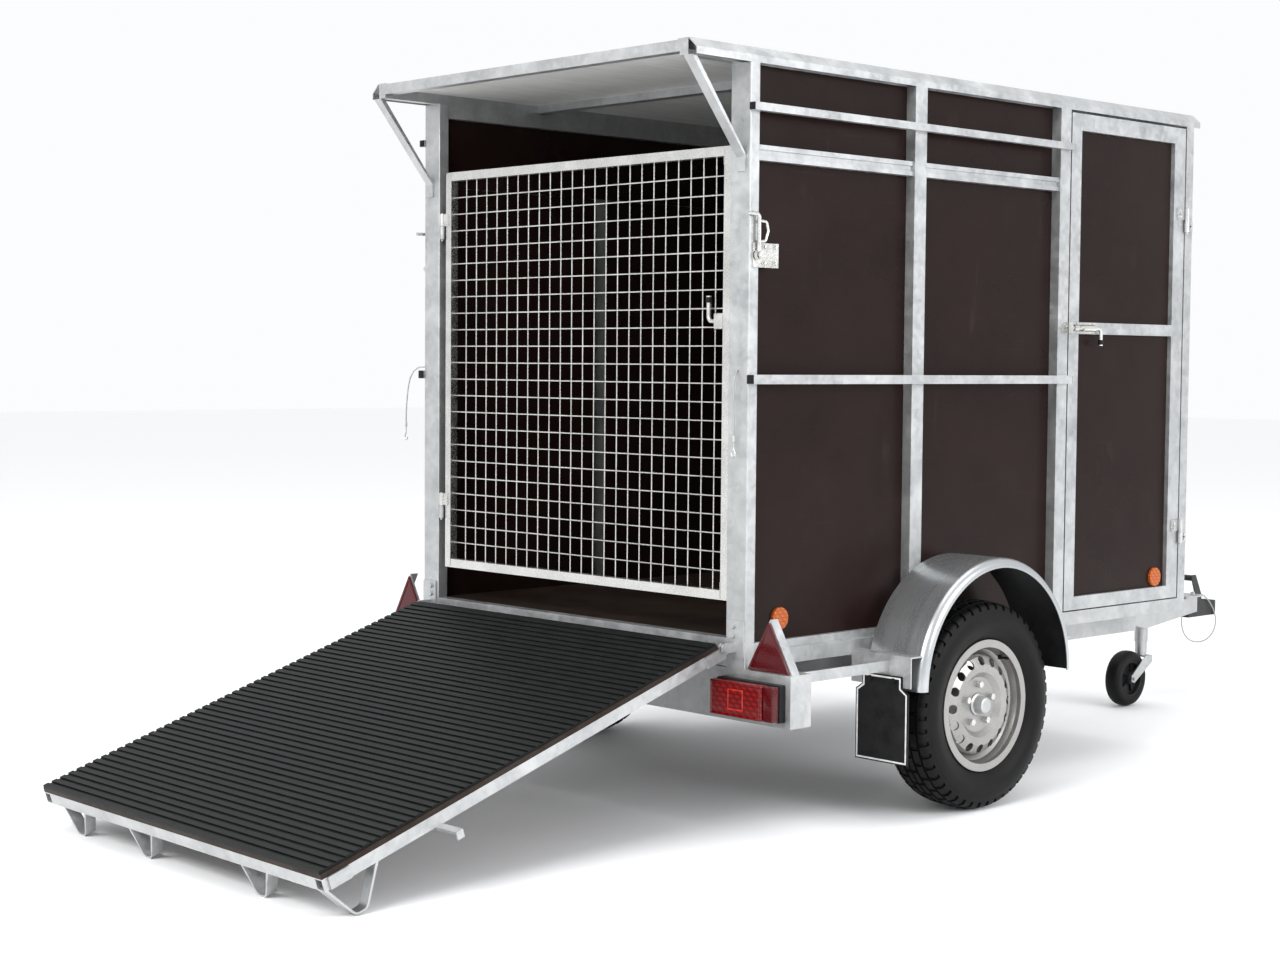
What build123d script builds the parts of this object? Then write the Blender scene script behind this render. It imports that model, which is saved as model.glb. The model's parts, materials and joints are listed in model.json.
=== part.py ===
from build123d import *
import os
from math import atan2, cos, pi, radians, sin, sqrt, tan

# Single-axle livestock trailer: galvanised frame, panelled box body, mesh gate, loading ramp.
# Millimetres. +X is the right-hand side, +Y the travel direction, +Z up, z = 0 the ground.
# Stations along the trailer are distances forward of the rear faces of the rear posts.

os.makedirs("parts", exist_ok=True)

# ---- body ----
body_width = 1346          # over the outer faces of the posts
body_length = 2040         # rear posts' rear faces to the front corner posts' front faces
half = body_width / 2
post_foot_z = 441          # underside of the posts
post_top_z = 1986
wall = 3                   # folded sheet and tube wall
rear_post_face = 70
post_inner_x = half - rear_post_face
rear_post_depth = 35
side_post_face = 50
side_post_depth = 32
corner_post = 40
mid_post_at = 652
door_post_at = 1326
sill_height = 40
sill_depth = 30
trim_height = 21
top_rail_width = 24
top_rail_height = 40
board = 12                 # wall and ramp plywood
vent_rail_z = 1742
vent_rail_height = 39
vent_bar_size = 20
vent_bar_z = 1864
rub_rail_size = 24
rub_rail_z = 1172
vent_board_gap = 3

# ---- floor and chassis ----
floor_top_z = 516
floor_board = 18
bearer_height = 55
bearer_width = 40
bearer_count = 5
chassis_x = half - 173
chassis_width = 40
chassis_height = 80
arm_height = 60            # drawbar arms
arm_width = 40
arm_start_at = 1500        # where the arms' middle lines meet the chassis rails' lines
arm_level_at = 2060        # under the floor up to here, dropping from here on
arm_dropped_at = 2480
arm_end_at = 3080
arm_end_x = 55

# ---- roof ----
roof_top_z = 2029
roof_rear_overhang = 193
roof_front_overhang = 35
roof_half_top = half - 28        # half the roof's width at its top edge
roof_sheet = 12
roof_bearer_width = 30
roof_lip_height = 18
stay_width = 30
stay_thickness = 5

# ---- ramp ----
hinge_z = 495
hinge_back = 38            # hinge axis behind the posts' rear faces
ramp_length = 1298         # hinge axis to the tip
ramp_width = 2 * post_inner_x + 49
ramp_slope = 18            # degrees, lowered on its feet
deck_top = 22              # walking surface above the hinge axis
mat_base = 4
mat_rib = 4
mat_rib_width = 15
mat_rib_pitch = 25
ramp_rail = 30
ramp_start = 14
foot_bar = 5
foot_bar_width = 30
foot_spread = 56           # tip feet, half the width at the top
side_foot_spread = 75
catch_at = 968
hinge_pin = 12
running_gap = 0.05         # radial clearance of pins and shafts that turn
seat_gap = 0.3             # between faces that lie on each other but move apart

# ---- mesh gate ----
gate_left = 22 - post_inner_x
gate_right = post_inner_x - 5
gate_foot_z = 611
gate_top_z = 1781
gate_at = 8                # rear face of the gate frame
gate_bar = 25
wire = 4
upright_wires = 23
level_wires = 22
gate_hinge_x = 10 - post_inner_x
gate_hinge_at = 4
gate_bolt_z = 1333
bolt_rod = 12

# ---- side door ----
door_start_at = door_post_at + side_post_face + 6
door_end_at = body_length - corner_post - 6
door_foot_z = 487
door_top_z = 1978
door_depth = 30
door_stile = 50
door_hinge_stile = 60
door_rail = 40
door_mid_rail_z = 1321
door_mid_rail = 35
door_hinge_x = half + 9
door_hinge_at = door_end_at + 2
knuckle = 8                # hinge knuckle radius

# ---- axle and wheels ----
wheel_at = 769
wheel_x = half + 119              # tyre centre
tyre_radius = 289
tyre_width = 157
bead_radius = 165
flange_radius = 182
rim_half_width = 62
rim_offset = 30            # hub face outboard of the tyre centre
vent_holes = 16
vent_hole_radius = 12.5
vent_hole_circle = 122
bolt_circle = 112          # wheel bolts' pitch circle diameter
wheel_bolts = 5
stub_radius = 20
axle_tube = 60
trail = 143                # wheel centre behind the axle's pivot
pivot_rise = 44
arm_thickness = 34

# ---- mudguards, lamps ----
guard_radius = tyre_radius + 49
guard_at = wheel_at + 17
guard_z = tyre_radius + 71
guard_sheet = 3
guard_inner_x = half + 27
guard_outer_x = guard_inner_x + 190
flap_height = 235
flap_thickness = 5
light_bar_half = half + 159
light_bar_depth = 77
light_bar_foot_z = 306
lamp_width = 225
lamp_height = 96
triangle_side = 150

# ---- coupling and jockey wheel ----
nose_reach = 3300          # rear posts' rear faces to the coupling's tip
ball_radius = 25.2
coupling_half_width = 38
coupling_foot_z = 275
coupling_top_z = 345
jockey_x = 90
jockey_at = 2690
jockey_tube_radius = 24
jockey_tube_bore = 21.5
jockey_inner_radius = 21.4
jockey_tube_foot_z = 225
jockey_tube_top_z = 640
jockey_wheel_radius = 100
jockey_wheel_width = 56
jockey_trail = jockey_wheel_radius - 5
crank_reach = 110

# ---- side latches ----
latch_at = 24
latch_z = 1500
latch_reach = 104
latch_x = half + 11

slope = radians(ramp_slope)
ramp_reach = hinge_back + ramp_length * cos(slope) + deck_top * sin(slope)
rear_y = (ramp_reach - nose_reach) / 2
chassis_top_z = floor_top_z - floor_board - bearer_height
chassis_foot_z = chassis_top_z - chassis_height
arm_foot_z = chassis_foot_z - arm_height
inner_x = half - side_post_depth
sill_top_z = chassis_top_z + sill_height
front_at = body_length - corner_post


def y_at(station):
    """Row-frame Y of a distance forward of the rear posts."""
    return rear_y + station


def across(x):
    """Plane looking along +X, with local axes Y and Z."""
    return Plane(origin=(x, 0, 0), x_dir=(0, 1, 0), z_dir=(1, 0, 0))


def facing_rear(station):
    """Plane looking rearwards, with local axes X and Z."""
    return Plane(origin=(0, y_at(station), 0), x_dir=(1, 0, 0), z_dir=(0, -1, 0))


def block(x_span, station_span, z_span):
    """Plain rectangular piece between pairs of X, station and Z values."""
    with BuildPart() as made:
        with BuildSketch(Plane.XY.offset(z_span[0])):
            with Locations((sum(x_span) / 2, y_at(sum(station_span) / 2))):
                Rectangle(x_span[1] - x_span[0], station_span[1] - station_span[0])
        extrude(amount=z_span[1] - z_span[0])
    return made.part


def bar(start, end, width, height, thickness=0):
    """Straight bar between two points (x, station, z): width is level, height is square to it."""
    first = Vector(start[0], y_at(start[1]), start[2])
    along = Vector(end[0], y_at(end[1]), end[2]) - first
    level = Vector(0, 0, 1).cross(along)
    if level.length < 1e-6:
        level = Vector(1, 0, 0)
    with BuildPart() as made:
        with BuildSketch(Plane(origin=first, x_dir=level, z_dir=along)):
            Rectangle(width, height)
            if thickness:
                Rectangle(width - 2 * thickness, height - 2 * thickness, mode=Mode.SUBTRACT)
        extrude(amount=along.length)
    return made.part


def rod(start, end, radius, bore=0):
    """Round bar or tube between two points (x, station, z)."""
    first = Vector(start[0], y_at(start[1]), start[2])
    along = Vector(end[0], y_at(end[1]), end[2]) - first
    with BuildPart() as made:
        with BuildSketch(Plane(origin=first, z_dir=along)):
            Circle(radius)
            if bore:
                Circle(bore, mode=Mode.SUBTRACT)
        extrude(amount=along.length)
    return made.part


def bent_rod(points, radius, bend):
    """Round rod along points (x, station, z) with one bend radius."""
    path = [(x, y_at(station), z) for x, station, z in points]
    with BuildPart() as made:
        with BuildLine() as route:
            FilletPolyline(*path, radius=bend)
        with BuildSketch(Plane(origin=path[0], z_dir=Vector(*path[1]) - Vector(*path[0]))):
            Circle(radius)
        sweep(path=route.wire())
    return made.part


def profile(plane, outline, depth, corner=0):
    """Piece with a straight-sided outline in a plane, extruded by depth."""
    with BuildPart() as made:
        with BuildSketch(plane) as face:
            with BuildLine():
                Polyline(*outline, close=True)
            make_face()
            if corner:
                fillet(face.vertices(), corner)
        extrude(amount=depth)
    return made.part


def both(piece):
    """A right-hand piece and its left-hand twin."""
    return [piece, mirror(piece, about=Plane.YZ)]


def write(label, *pieces):
    """Write a piece, or a group of like pieces, as one named node."""
    solids = [solid for piece in pieces for solid in piece.solids()]
    node = solids[0] if len(solids) == 1 else Compound(children=solids)
    node.label = label
    export_step(node, f"parts/{label}.step")
    return node


# ======================= frame of the body =======================

def rear_post(bolt_hole):
    with BuildPart() as post:
        with BuildSketch(Plane.XY.offset(post_foot_z)):
            with Locations((half - rear_post_face / 2, y_at(rear_post_depth / 2))):
                RectangleRounded(rear_post_face, rear_post_depth, wall)
                Rectangle(rear_post_face - 2 * wall, rear_post_depth - 2 * wall, mode=Mode.SUBTRACT)
        extrude(amount=post_top_z - post_foot_z)
        if bolt_hole:
            with BuildSketch(across(post_inner_x - 1)):
                with Locations((y_at(gate_at + gate_bar / 4), gate_bolt_z)):
                    Circle(bolt_rod / 2 + 1)
            extrude(amount=wall + 2, mode=Mode.SUBTRACT)
    return post.part


write("rear_posts", rear_post(True), mirror(rear_post(False), about=Plane.YZ))


def side_post(station, width):
    centre = (half - side_post_depth / 2, station + width / 2)
    return bar((*centre, chassis_top_z), (*centre, post_top_z), side_post_depth, width, wall)


def cross_rail(z_low, z_high):
    centre_z = (z_low + z_high) / 2
    side = half - corner_post
    return bar((-side, front_at + sill_depth / 2, centre_z), (side, front_at + sill_depth / 2, centre_z),
               sill_depth, z_high - z_low, wall)


corner_centre = (half - corner_post / 2, front_at + corner_post / 2)
corner_post_right = bar((*corner_centre, chassis_top_z), (*corner_centre, post_top_z),
                        corner_post, corner_post, wall)
front_rails = [cross_rail(chassis_top_z, sill_top_z),
               cross_rail(rub_rail_z, rub_rail_z + corner_post),
               cross_rail(post_top_z - top_rail_height, post_top_z)]
write("body_frame",
      *both(side_post(mid_post_at, side_post_face)),
      *both(side_post(door_post_at, side_post_face)),
      *both(corner_post_right),
      *front_rails)


# Each bay is the clear stretch between two posts on one side.
rear_bay = (rear_post_depth, mid_post_at)
mid_bay = (mid_post_at + side_post_face, door_post_at)
front_bay = (door_post_at + side_post_face, front_at)
right_bays = [rear_bay, mid_bay]
left_bays = [rear_bay, mid_bay, front_bay]


def sill_rail():
    x = half - side_post_depth / 2
    z = chassis_top_z + sill_height / 2
    return [bar((x, bay[0], z), (x, bay[1], z), side_post_depth, sill_height, wall) for bay in left_bays]


def panel_trim(bay):
    return block((inner_x + 2, inner_x + 17), bay, (sill_top_z, sill_top_z + trim_height))


def top_rail():
    outer = inner_x - board
    x = outer - top_rail_width / 2
    z = post_top_z - top_rail_height / 2
    return bar((x, rear_post_depth, z), (x, front_at, z), top_rail_width, top_rail_height, wall)


side_rails = [rail for piece in sill_rail() for rail in both(piece)]
side_rails += both(top_rail())
side_rails += [panel_trim(bay) for bay in right_bays]
side_rails += [mirror(panel_trim(bay), about=Plane.YZ) for bay in left_bays]
write("side_rails", *side_rails)


def vent_rail(bay):
    """Folded rail with a shallow groove along its outer face."""
    low, high = vent_rail_z, vent_rail_z + vent_rail_height
    groove_low, groove_high = low + 12, high - 12
    back, face = inner_x + 2, inner_x + 26
    outline = [(back, low), (face, low), (face, groove_low), (face - 5, groove_low),
               (face - 5, groove_high), (face, groove_high), (face, high), (back, high)]
    return profile(facing_rear(bay[1]), outline, bay[1] - bay[0])


def outside_rail(z_low, size):
    x = half + size / 2
    z = z_low + size / 2
    return bar((x, -3, z), (x, door_post_at + side_post_face - 5, z), size, size, wall / 1.5)


side_bars = [vent_rail(bay) for bay in right_bays]
side_bars += [mirror(vent_rail(bay), about=Plane.YZ) for bay in left_bays]
side_bars += both(outside_rail(vent_bar_z, vent_bar_size))
side_bars += both(outside_rail(rub_rail_z, rub_rail_size))
write("side_bars", *side_bars)


# ======================= boards =======================

panel_foot_z = floor_top_z - floor_board


def side_panel(bay):
    outer = inner_x + 2
    return block((outer - board, outer), bay, (panel_foot_z, vent_rail_z))


def vent_panel(bays):
    outer = inner_x
    return block((outer - board, outer), (bays[0][0], bays[-1][1]), (vent_rail_z + vent_board_gap, post_top_z))


front_panel = block((board - inner_x, inner_x - board), (front_at - board, front_at),
                    (floor_top_z, post_top_z - top_rail_height))
write("wall_panels", front_panel,
      *[side_panel(bay) for bay in right_bays],
      *[mirror(side_panel(bay), about=Plane.YZ) for bay in left_bays])
write("vent_panels", vent_panel(right_bays), mirror(vent_panel(left_bays), about=Plane.YZ))

floor_half = inner_x - board
floor = block((-floor_half, floor_half), (rear_post_depth + 1, front_at - board),
              (floor_top_z - floor_board, floor_top_z))
write("floor_board", floor)


# ======================= chassis and drawbar =======================

def bearer(station):
    z = chassis_top_z + bearer_height / 2
    return bar((-inner_x, station, z), (inner_x, station, z), bearer_width, bearer_height, wall)


sill_z = (chassis_top_z + floor_top_z) / 2
rear_sill = bar((-post_inner_x, rear_post_depth / 2, sill_z), (post_inner_x, rear_post_depth / 2, sill_z),
                rear_post_depth, floor_top_z - chassis_top_z, wall)
bearer_pitch = (front_at - rear_post_depth) / (bearer_count + 0.5)
bearers = [bearer(rear_post_depth + bearer_pitch * (k + 0.6)) for k in range(bearer_count)]
chassis_z = chassis_foot_z + chassis_height / 2
chassis_rail = bar((chassis_x, light_bar_depth, chassis_z), (chassis_x, front_at, chassis_z),
                   chassis_width, chassis_height, wall)
write("chassis", rear_sill, *bearers, *both(chassis_rail))

arm_z = arm_foot_z + arm_height / 2
arm_lean = (chassis_x - arm_end_x) / (arm_end_at - arm_start_at)
arm_half_level = arm_width / 2 * sqrt(1 + arm_lean ** 2)


def arm_inner_face(station):
    """X of the right drawbar arm's inner face at a station."""
    return arm_end_x + (arm_end_at - station) * arm_lean - arm_half_level


arm_slant = sqrt(1 + arm_lean ** 2)
arm_rear_x = chassis_x - chassis_width / 2 - arm_width / 2 / arm_slant
arm_rear_at = arm_end_at - (arm_rear_x - arm_end_x) / arm_lean
arm_drop = chassis_top_z - arm_height - arm_foot_z
arm_runs = [(arm_end_at - station) * arm_slant for station in (arm_dropped_at, arm_level_at, arm_rear_at)]
arm_bend = atan2(arm_drop, arm_runs[1] - arm_runs[0])


def arm_line(rise, beyond):
    """Points along a drawbar arm at a height above its underside, from the coupling to its rear end."""
    shift = rise * tan(arm_bend / 2)
    return [(-beyond, arm_foot_z + rise), (arm_runs[0] - shift, arm_foot_z + rise),
            (arm_runs[1] - shift, arm_foot_z + arm_drop + rise), (arm_runs[2] + beyond, arm_foot_z + arm_drop + rise)]


with BuildPart() as drawbar_arm:
    arm_plane = Plane(origin=(arm_end_x, y_at(arm_end_at), 0), x_dir=(arm_lean, -1, 0), z_dir=(-1, -arm_lean, 0))
    with BuildSketch(arm_plane):
        with BuildLine():
            Polyline(*arm_line(0, 0), *reversed(arm_line(arm_height, 0)), close=True)
        make_face()
    extrude(amount=arm_width / 2, both=True)
    with BuildSketch(arm_plane):
        with BuildLine():
            Polyline(*arm_line(wall, 5), *reversed(arm_line(arm_height - wall, 5)), close=True)
        make_face()
    extrude(amount=arm_width / 2 - wall, both=True, mode=Mode.SUBTRACT)
tail_start_at = arm_end_at - 90
plate_half = 105
drawbar_plate = block((-plate_half, plate_half), (tail_start_at - 30, arm_end_at + 10),
                      (chassis_foot_z, chassis_foot_z + 6))
write("drawbar_arms", *both(drawbar_arm.part), drawbar_plate)


# ======================= roof =======================

roof_rear = -roof_rear_overhang
roof_front = body_length + roof_front_overhang
trim = 3


def roof_side_trim():
    """Folded edge trim: upright lip outside, slope up to the roof's edge, flat flange on top."""
    top = roof_top_z
    lip_top = post_top_z + roof_lip_height
    outline = [(half, post_top_z), (half, lip_top), (roof_half_top, top), (roof_half_top - 40, top),
               (roof_half_top - 40, top - trim), (roof_half_top - 1.1, top - trim),
               (half - trim, lip_top - 1.3), (half - trim, post_top_z)]
    return profile(facing_rear(roof_front), outline, roof_front - roof_rear)


def roof_end_bar(station):
    z = (roof_top_z - 32 + roof_top_z - trim) / 2
    side = roof_half_top - 4
    return bar((-side, station, z), (side, station, z), roof_bearer_width, 32 - trim, wall)


roof_bearer_x = inner_x - roof_bearer_width / 2
roof_bearer_height = roof_top_z - trim - roof_sheet - post_top_z
roof_bearer_z = post_top_z + roof_bearer_height / 2
inner_rear = roof_rear + roof_bearer_width
inner_front = roof_front - roof_bearer_width
roof_bearer = bar((roof_bearer_x, inner_rear, roof_bearer_z), (roof_bearer_x, inner_front, roof_bearer_z),
                  roof_bearer_width, roof_bearer_height, wall)
beam_side = roof_bearer_x - roof_bearer_width / 2
beam_height = 22
beam_z = post_top_z + roof_bearer_height - beam_height / 2
roof_beams = [bar((-beam_side, station, beam_z), (beam_side, station, beam_z), bearer_width, beam_height, wall)
              for station in (body_length * 0.2, body_length * 0.7)]
write("roof_frame", *both(roof_side_trim()), *both(roof_bearer), *roof_beams,
      roof_end_bar(roof_rear + roof_bearer_width / 2), roof_end_bar(roof_front - roof_bearer_width / 2))

roof_sheet_top = roof_top_z - trim
roof = block((4 - roof_half_top, roof_half_top - 4), (inner_rear, inner_front),
             (roof_sheet_top - roof_sheet, roof_sheet_top))
write("roof_panel", roof)


def roof_stay():
    """Flat bar from the overhang's corner down to a foot on the rear post's face."""
    t = stay_thickness
    low, knee, high = 1712, 1752, post_top_z
    tip = roof_rear + 12
    rise = (high - knee) / -tip
    outline = [(y_at(0), low), (y_at(0), knee), (y_at(tip), high), (y_at(tip - 14), high),
               (y_at(tip - 14), high - 3), (y_at(-t), knee - t * rise * 0.55), (y_at(-t), low)]
    return profile(across(ramp_width / 2 + 2), outline, stay_width)


stay_head = block((roof_bearer_x - 15, roof_bearer_x + 15), (roof_rear + 1, roof_rear + 30),
                  (post_top_z, roof_top_z - 32))
write("roof_stays", *both(roof_stay()), *both(stay_head))


# ======================= axle and suspension =======================

axle_at = wheel_at + trail
axle_z = tyre_radius + pivot_rise
beam_half = half - 33
stub_inner_x = half - 173
bar_radius = 19.5
axle_beam = bar((-beam_half, axle_at, axle_z), (beam_half, axle_at, axle_z), axle_tube, axle_tube, wall)
write("axle_beam", axle_beam)

rubber_radius = 7.5
rubber_off = axle_tube / 2 - wall - rubber_radius
rubbers = [rod((stub_inner_x + 5, axle_at + sy * rubber_off, axle_z + sz * rubber_off),
               (beam_half - 5, axle_at + sy * rubber_off, axle_z + sz * rubber_off), rubber_radius)
           for sy in (-1, 1) for sz in (-1, 1)]
write("torsion_rubbers", *[twin for rubber in rubbers for twin in both(rubber)])

arm_inner_x = beam_half + 10
hub_face_x = wheel_x + rim_offset
hub_length = 92
stub_end_x = hub_face_x - 8


def swing_arm():
    """Trailing arm with its pivot bar inboard and the wheel's stub axle outboard."""
    with BuildPart() as made:
        with BuildSketch(across(arm_inner_x)):
            with BuildLine():
                Polyline((y_at(axle_at) + 12, axle_z + 30), (y_at(wheel_at) - 4, tyre_radius + 30),
                         (y_at(wheel_at) + 6, tyre_radius - 29), (y_at(axle_at) + 8, axle_z - 32), close=True)
            make_face()
            with Locations((y_at(axle_at), axle_z)):
                Circle(34)
            with Locations((y_at(wheel_at), tyre_radius)):
                Circle(30)
        extrude(amount=arm_thickness)
        with BuildSketch(across(stub_inner_x)):
            with Locations((y_at(axle_at), axle_z)):
                Circle(bar_radius)
        extrude(amount=arm_inner_x - stub_inner_x + 1)
        with BuildSketch(across(arm_inner_x + arm_thickness - 1)):
            with Locations((y_at(wheel_at), tyre_radius)):
                Circle(stub_radius)
        extrude(amount=stub_end_x - arm_inner_x - arm_thickness + 1)
    return made.part


arm_right, arm_left = both(swing_arm())
write("swing_arm_right", arm_right)
write("swing_arm_left", arm_left)


def wheel_axis():
    return Axis((wheel_x, y_at(wheel_at), tyre_radius), (1, 0, 0))


def turned(outline):
    """Ring turned about the wheel's axis from points (offset from the tyre centre, radius)."""
    section = Plane(origin=(wheel_x, y_at(wheel_at), tyre_radius), x_dir=(1, 0, 0), z_dir=(0, -1, 0))
    with BuildPart() as made:
        with BuildSketch(section):
            with BuildLine():
                Polyline(*outline, close=True)
            make_face()
        revolve(axis=wheel_axis())
    return made.part


def hub():
    face = rim_offset
    back = face - hub_length
    bore = stub_radius + running_gap
    body = turned([(back, bore), (back, 45), (face - 10, 45), (face - 10, 75), (face, 75), (face, 31),
                   (face + 1, 31), (face + 1, bore)])
    cap = turned([(face + 1, bore + 3), (face + 1, 31), (face + 6, 31), (face + 9, 25), (face + 34, 22),
                  (face + 36, 18), (face + 36, 0), (face + 33, 0), (face + 33, 17), (face + 8, bore + 1)])
    return body, cap


def rim():
    w = rim_half_width
    barrel = turned([(-w, flange_radius), (-w + 4, flange_radius), (-w + 4, bead_radius), (-w + 14, bead_radius),
                     (-30, bead_radius - 6), (-20, 142), (14, 142), (28, bead_radius - 6), (w - 14, bead_radius),
                     (w - 4, bead_radius), (w - 4, flange_radius), (w, flange_radius), (w, bead_radius - 4),
                     (w - 13, bead_radius - 4), (30, bead_radius - 10), (16, 138), (-22, 138),
                     (-32, bead_radius - 10), (-w + 13, bead_radius - 4), (-w, bead_radius - 4)])
    f = rim_offset
    dish = [(f, 33), (f + 4, 33), (f + 4, 76), (f + 17, 90), (f + 20, 112), (f + 10, 133), (f - 2, 138),
            (f - 20, 138), (f - 4, 134), (f + 6, 130), (f + 15.5, 111), (f + 13, 93), (f, 80)]
    with BuildPart() as disc:
        add(turned(dish))
        with BuildSketch(across(wheel_x)):
            with Locations((y_at(wheel_at), tyre_radius)):
                with PolarLocations(vent_hole_circle, vent_holes):
                    Circle(vent_hole_radius)
        extrude(amount=rim_offset + 40, mode=Mode.SUBTRACT)
        with BuildSketch(across(wheel_x)):
            with Locations((y_at(wheel_at), tyre_radius)):
                with PolarLocations(bolt_circle / 2, wheel_bolts, start_angle=90):
                    Circle(7)
        extrude(amount=rim_offset + 10, mode=Mode.SUBTRACT)
    with BuildPart() as whole:
        add(barrel)
        add(disc.part)
    return whole.part


def tyre():
    """Carcass with bead, bulged sidewall and a slightly crowned tread."""
    bead = bead_radius + seat_gap
    b = rim_half_width - 4 - seat_gap
    bulge = tyre_width / 2
    r = tyre_radius
    outline = [(-b, flange_radius + 3), (-b, bead), (-b + 10, bead), (-b + 10, flange_radius)]
    arcs = [((-b + 10, flange_radius), (-bulge + 9, 228), (-52, r - 18)),
            ((-52, r - 18), (0, r - 12), (52, r - 18)),
            ((52, r - 18), (bulge - 9, 228), (b - 10, flange_radius)),
            ((b, flange_radius + 3), (bulge, 234), (64, r - 8)),
            ((64, r - 8), (0, r), (-64, r - 8)),
            ((-64, r - 8), (-bulge, 234), (-b, flange_radius + 3))]
    section = Plane(origin=(wheel_x, y_at(wheel_at), tyre_radius), x_dir=(1, 0, 0), z_dir=(0, -1, 0))
    with BuildPart() as made:
        with BuildSketch(section):
            with BuildLine():
                Polyline(*outline)
                for arc in arcs:
                    ThreePointArc(*arc)
                Polyline((b - 10, flange_radius), (b - 10, bead), (b, bead), (b, flange_radius + 3))
            make_face()
        revolve(axis=wheel_axis())
    return made.part


def wheel_bolt_set():
    """Hexagon bolts through the rim's holes, heads on the disc."""
    head_x = hub_face_x + 4
    with BuildPart() as bolts:
        with BuildSketch(across(hub_face_x)):
            with Locations((y_at(wheel_at), tyre_radius)):
                with PolarLocations(bolt_circle / 2, wheel_bolts, start_angle=90):
                    Circle(6)
        extrude(amount=5)
        with BuildSketch(across(head_x)):
            with Locations((y_at(wheel_at), tyre_radius)):
                with PolarLocations(bolt_circle / 2, wheel_bolts, start_angle=90):
                    RegularPolygon(9.5, 6)
        extrude(amount=14)
    return bolts.part


hub_body, hub_cap = hub()
for side, place in (("right", lambda piece: piece), ("left", lambda piece: mirror(piece, about=Plane.YZ))):
    write(f"hub_{side}", place(hub_body), place(hub_cap))
    write(f"rim_{side}", place(rim()))
    write(f"tyre_{side}", place(tyre()))
    write(f"wheel_bolts_{side}", place(wheel_bolt_set()))


# ======================= mudguards and flaps =======================

def mudguard():
    """Half-round arch with a rounded lip turned in along its outer edge."""
    outer, inner = guard_radius, guard_radius - guard_sheet
    layers = ((guard_inner_x, guard_outer_x - guard_inner_x, inner),
              (guard_outer_x - guard_sheet, guard_sheet, outer - 24))
    with BuildPart() as made:
        for start, width, hollow in layers:
            with BuildSketch(across(start)):
                with Locations((y_at(guard_at), guard_z)):
                    Circle(outer)
                    Circle(hollow, mode=Mode.SUBTRACT)
                with Locations((y_at(guard_at), guard_z - outer)):
                    Rectangle(3 * outer, 2 * outer, mode=Mode.SUBTRACT)
            extrude(amount=width)
        outer_edges = made.edges().filter_by(GeomType.CIRCLE).group_by(Axis.X)[-1]
        fillet([edge for edge in outer_edges if edge.radius > outer - 1], guard_sheet * 0.9)
    return made.part


write("mudguards", *both(mudguard()))

bracket_z = guard_z + 92
bracket_at = guard_at - guard_radius - 33
flange_foot_z = guard_z + 12
guard_face_at = guard_at - sqrt(guard_radius ** 2 - (bracket_z - guard_z) ** 2)


def guard_bracket():
    """Angle from the sill out along the guard's rear leg, which also carries the flap."""
    outline = [(y_at(bracket_at), flange_foot_z), (y_at(bracket_at + 4), flange_foot_z),
               (y_at(bracket_at + 4), bracket_z), (y_at(guard_face_at), bracket_z),
               (y_at(guard_face_at), bracket_z + 4), (y_at(bracket_at), bracket_z + 4)]
    return profile(across(half), outline, guard_outer_x - half - 12)


front_face_at = guard_at + sqrt(guard_radius ** 2 - (bracket_z - 4 - guard_z) ** 2)
front_bracket = block((half, guard_outer_x - 20), (front_face_at, front_face_at + 26), (bracket_z - 4, bracket_z))
light_stay = bar((light_bar_half - 30, light_bar_depth, 427), (light_bar_half - 30, bracket_at, 427), 5, 28)
write("mudguard_brackets", *both(guard_bracket()), *both(front_bracket), *both(light_stay))


def mudflap():
    """Flap with a stepped tab at its top, two bolts through it into the bracket."""
    left, right = guard_inner_x - 6, guard_outer_x - 16
    top = flange_foot_z + 30
    foot = top - flap_height
    outline = [(left, foot), (right, foot), (right, top - 45), (right - 22, top - 30), (right - 22, top),
               (left + 22, top), (left + 22, top - 30), (left, top - 45)]
    flap = profile(facing_rear(bracket_at), outline, flap_thickness)
    heads = [rod((x, bracket_at - flap_thickness - 5, top - 14), (x, bracket_at - flap_thickness, top - 14), 8)
             for x in (left + 50, right - 50)]
    return [flap] + heads


write("mudflaps", *[twin for piece in mudflap() for twin in both(piece)])


# ======================= light bar, lamps, reflectors =======================

def light_bar():
    """Channel open underneath, closed by a plate at each end, under the rear posts."""
    side = light_bar_half - wall
    outline = [(y_at(0), light_bar_foot_z), (y_at(wall), light_bar_foot_z), (y_at(wall), post_foot_z - wall),
               (y_at(light_bar_depth - wall), post_foot_z - wall), (y_at(light_bar_depth - wall), 400),
               (y_at(light_bar_depth), 400), (y_at(light_bar_depth), post_foot_z), (y_at(0), post_foot_z)]
    channel = profile(across(-side), outline, 2 * side)
    end_plate = block((side, side + wall), (0, light_bar_depth), (light_bar_foot_z, post_foot_z))
    return channel, end_plate


triangle_x = half + 4 + triangle_side / 2
triangle_height = triangle_side * sqrt(3) / 2
reflector = 8


def triangle(x, foot_z, side, station, depth):
    rise = side * sqrt(3) / 2
    return profile(facing_rear(station), [(x - side / 2, foot_z), (x + side / 2, foot_z), (x, foot_z + rise)], depth)


channel, end_plate = light_bar()
triangle_plate = triangle(triangle_x, post_foot_z, triangle_side + 6, reflector + wall, wall)
with BuildPart() as plate_flange:
    with BuildSketch(facing_rear(reflector + wall + 25)):
        with BuildLine():
            Polyline((triangle_x + 78, post_foot_z), (triangle_x, post_foot_z + 135.1),
                     (triangle_x - 2.6, post_foot_z + 133.6), (triangle_x + 74.5, post_foot_z), close=True)
        make_face()
    extrude(amount=25)
write("light_bar", channel, *both(end_plate), *both(triangle_plate), *both(plate_flange.part))

lamp_x = light_bar_half - 17 - lamp_width / 2
lamp_z = light_bar_foot_z + 15 + lamp_height / 2
base_depth = 20
lens_depth = 28
end_lens = 36


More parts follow.
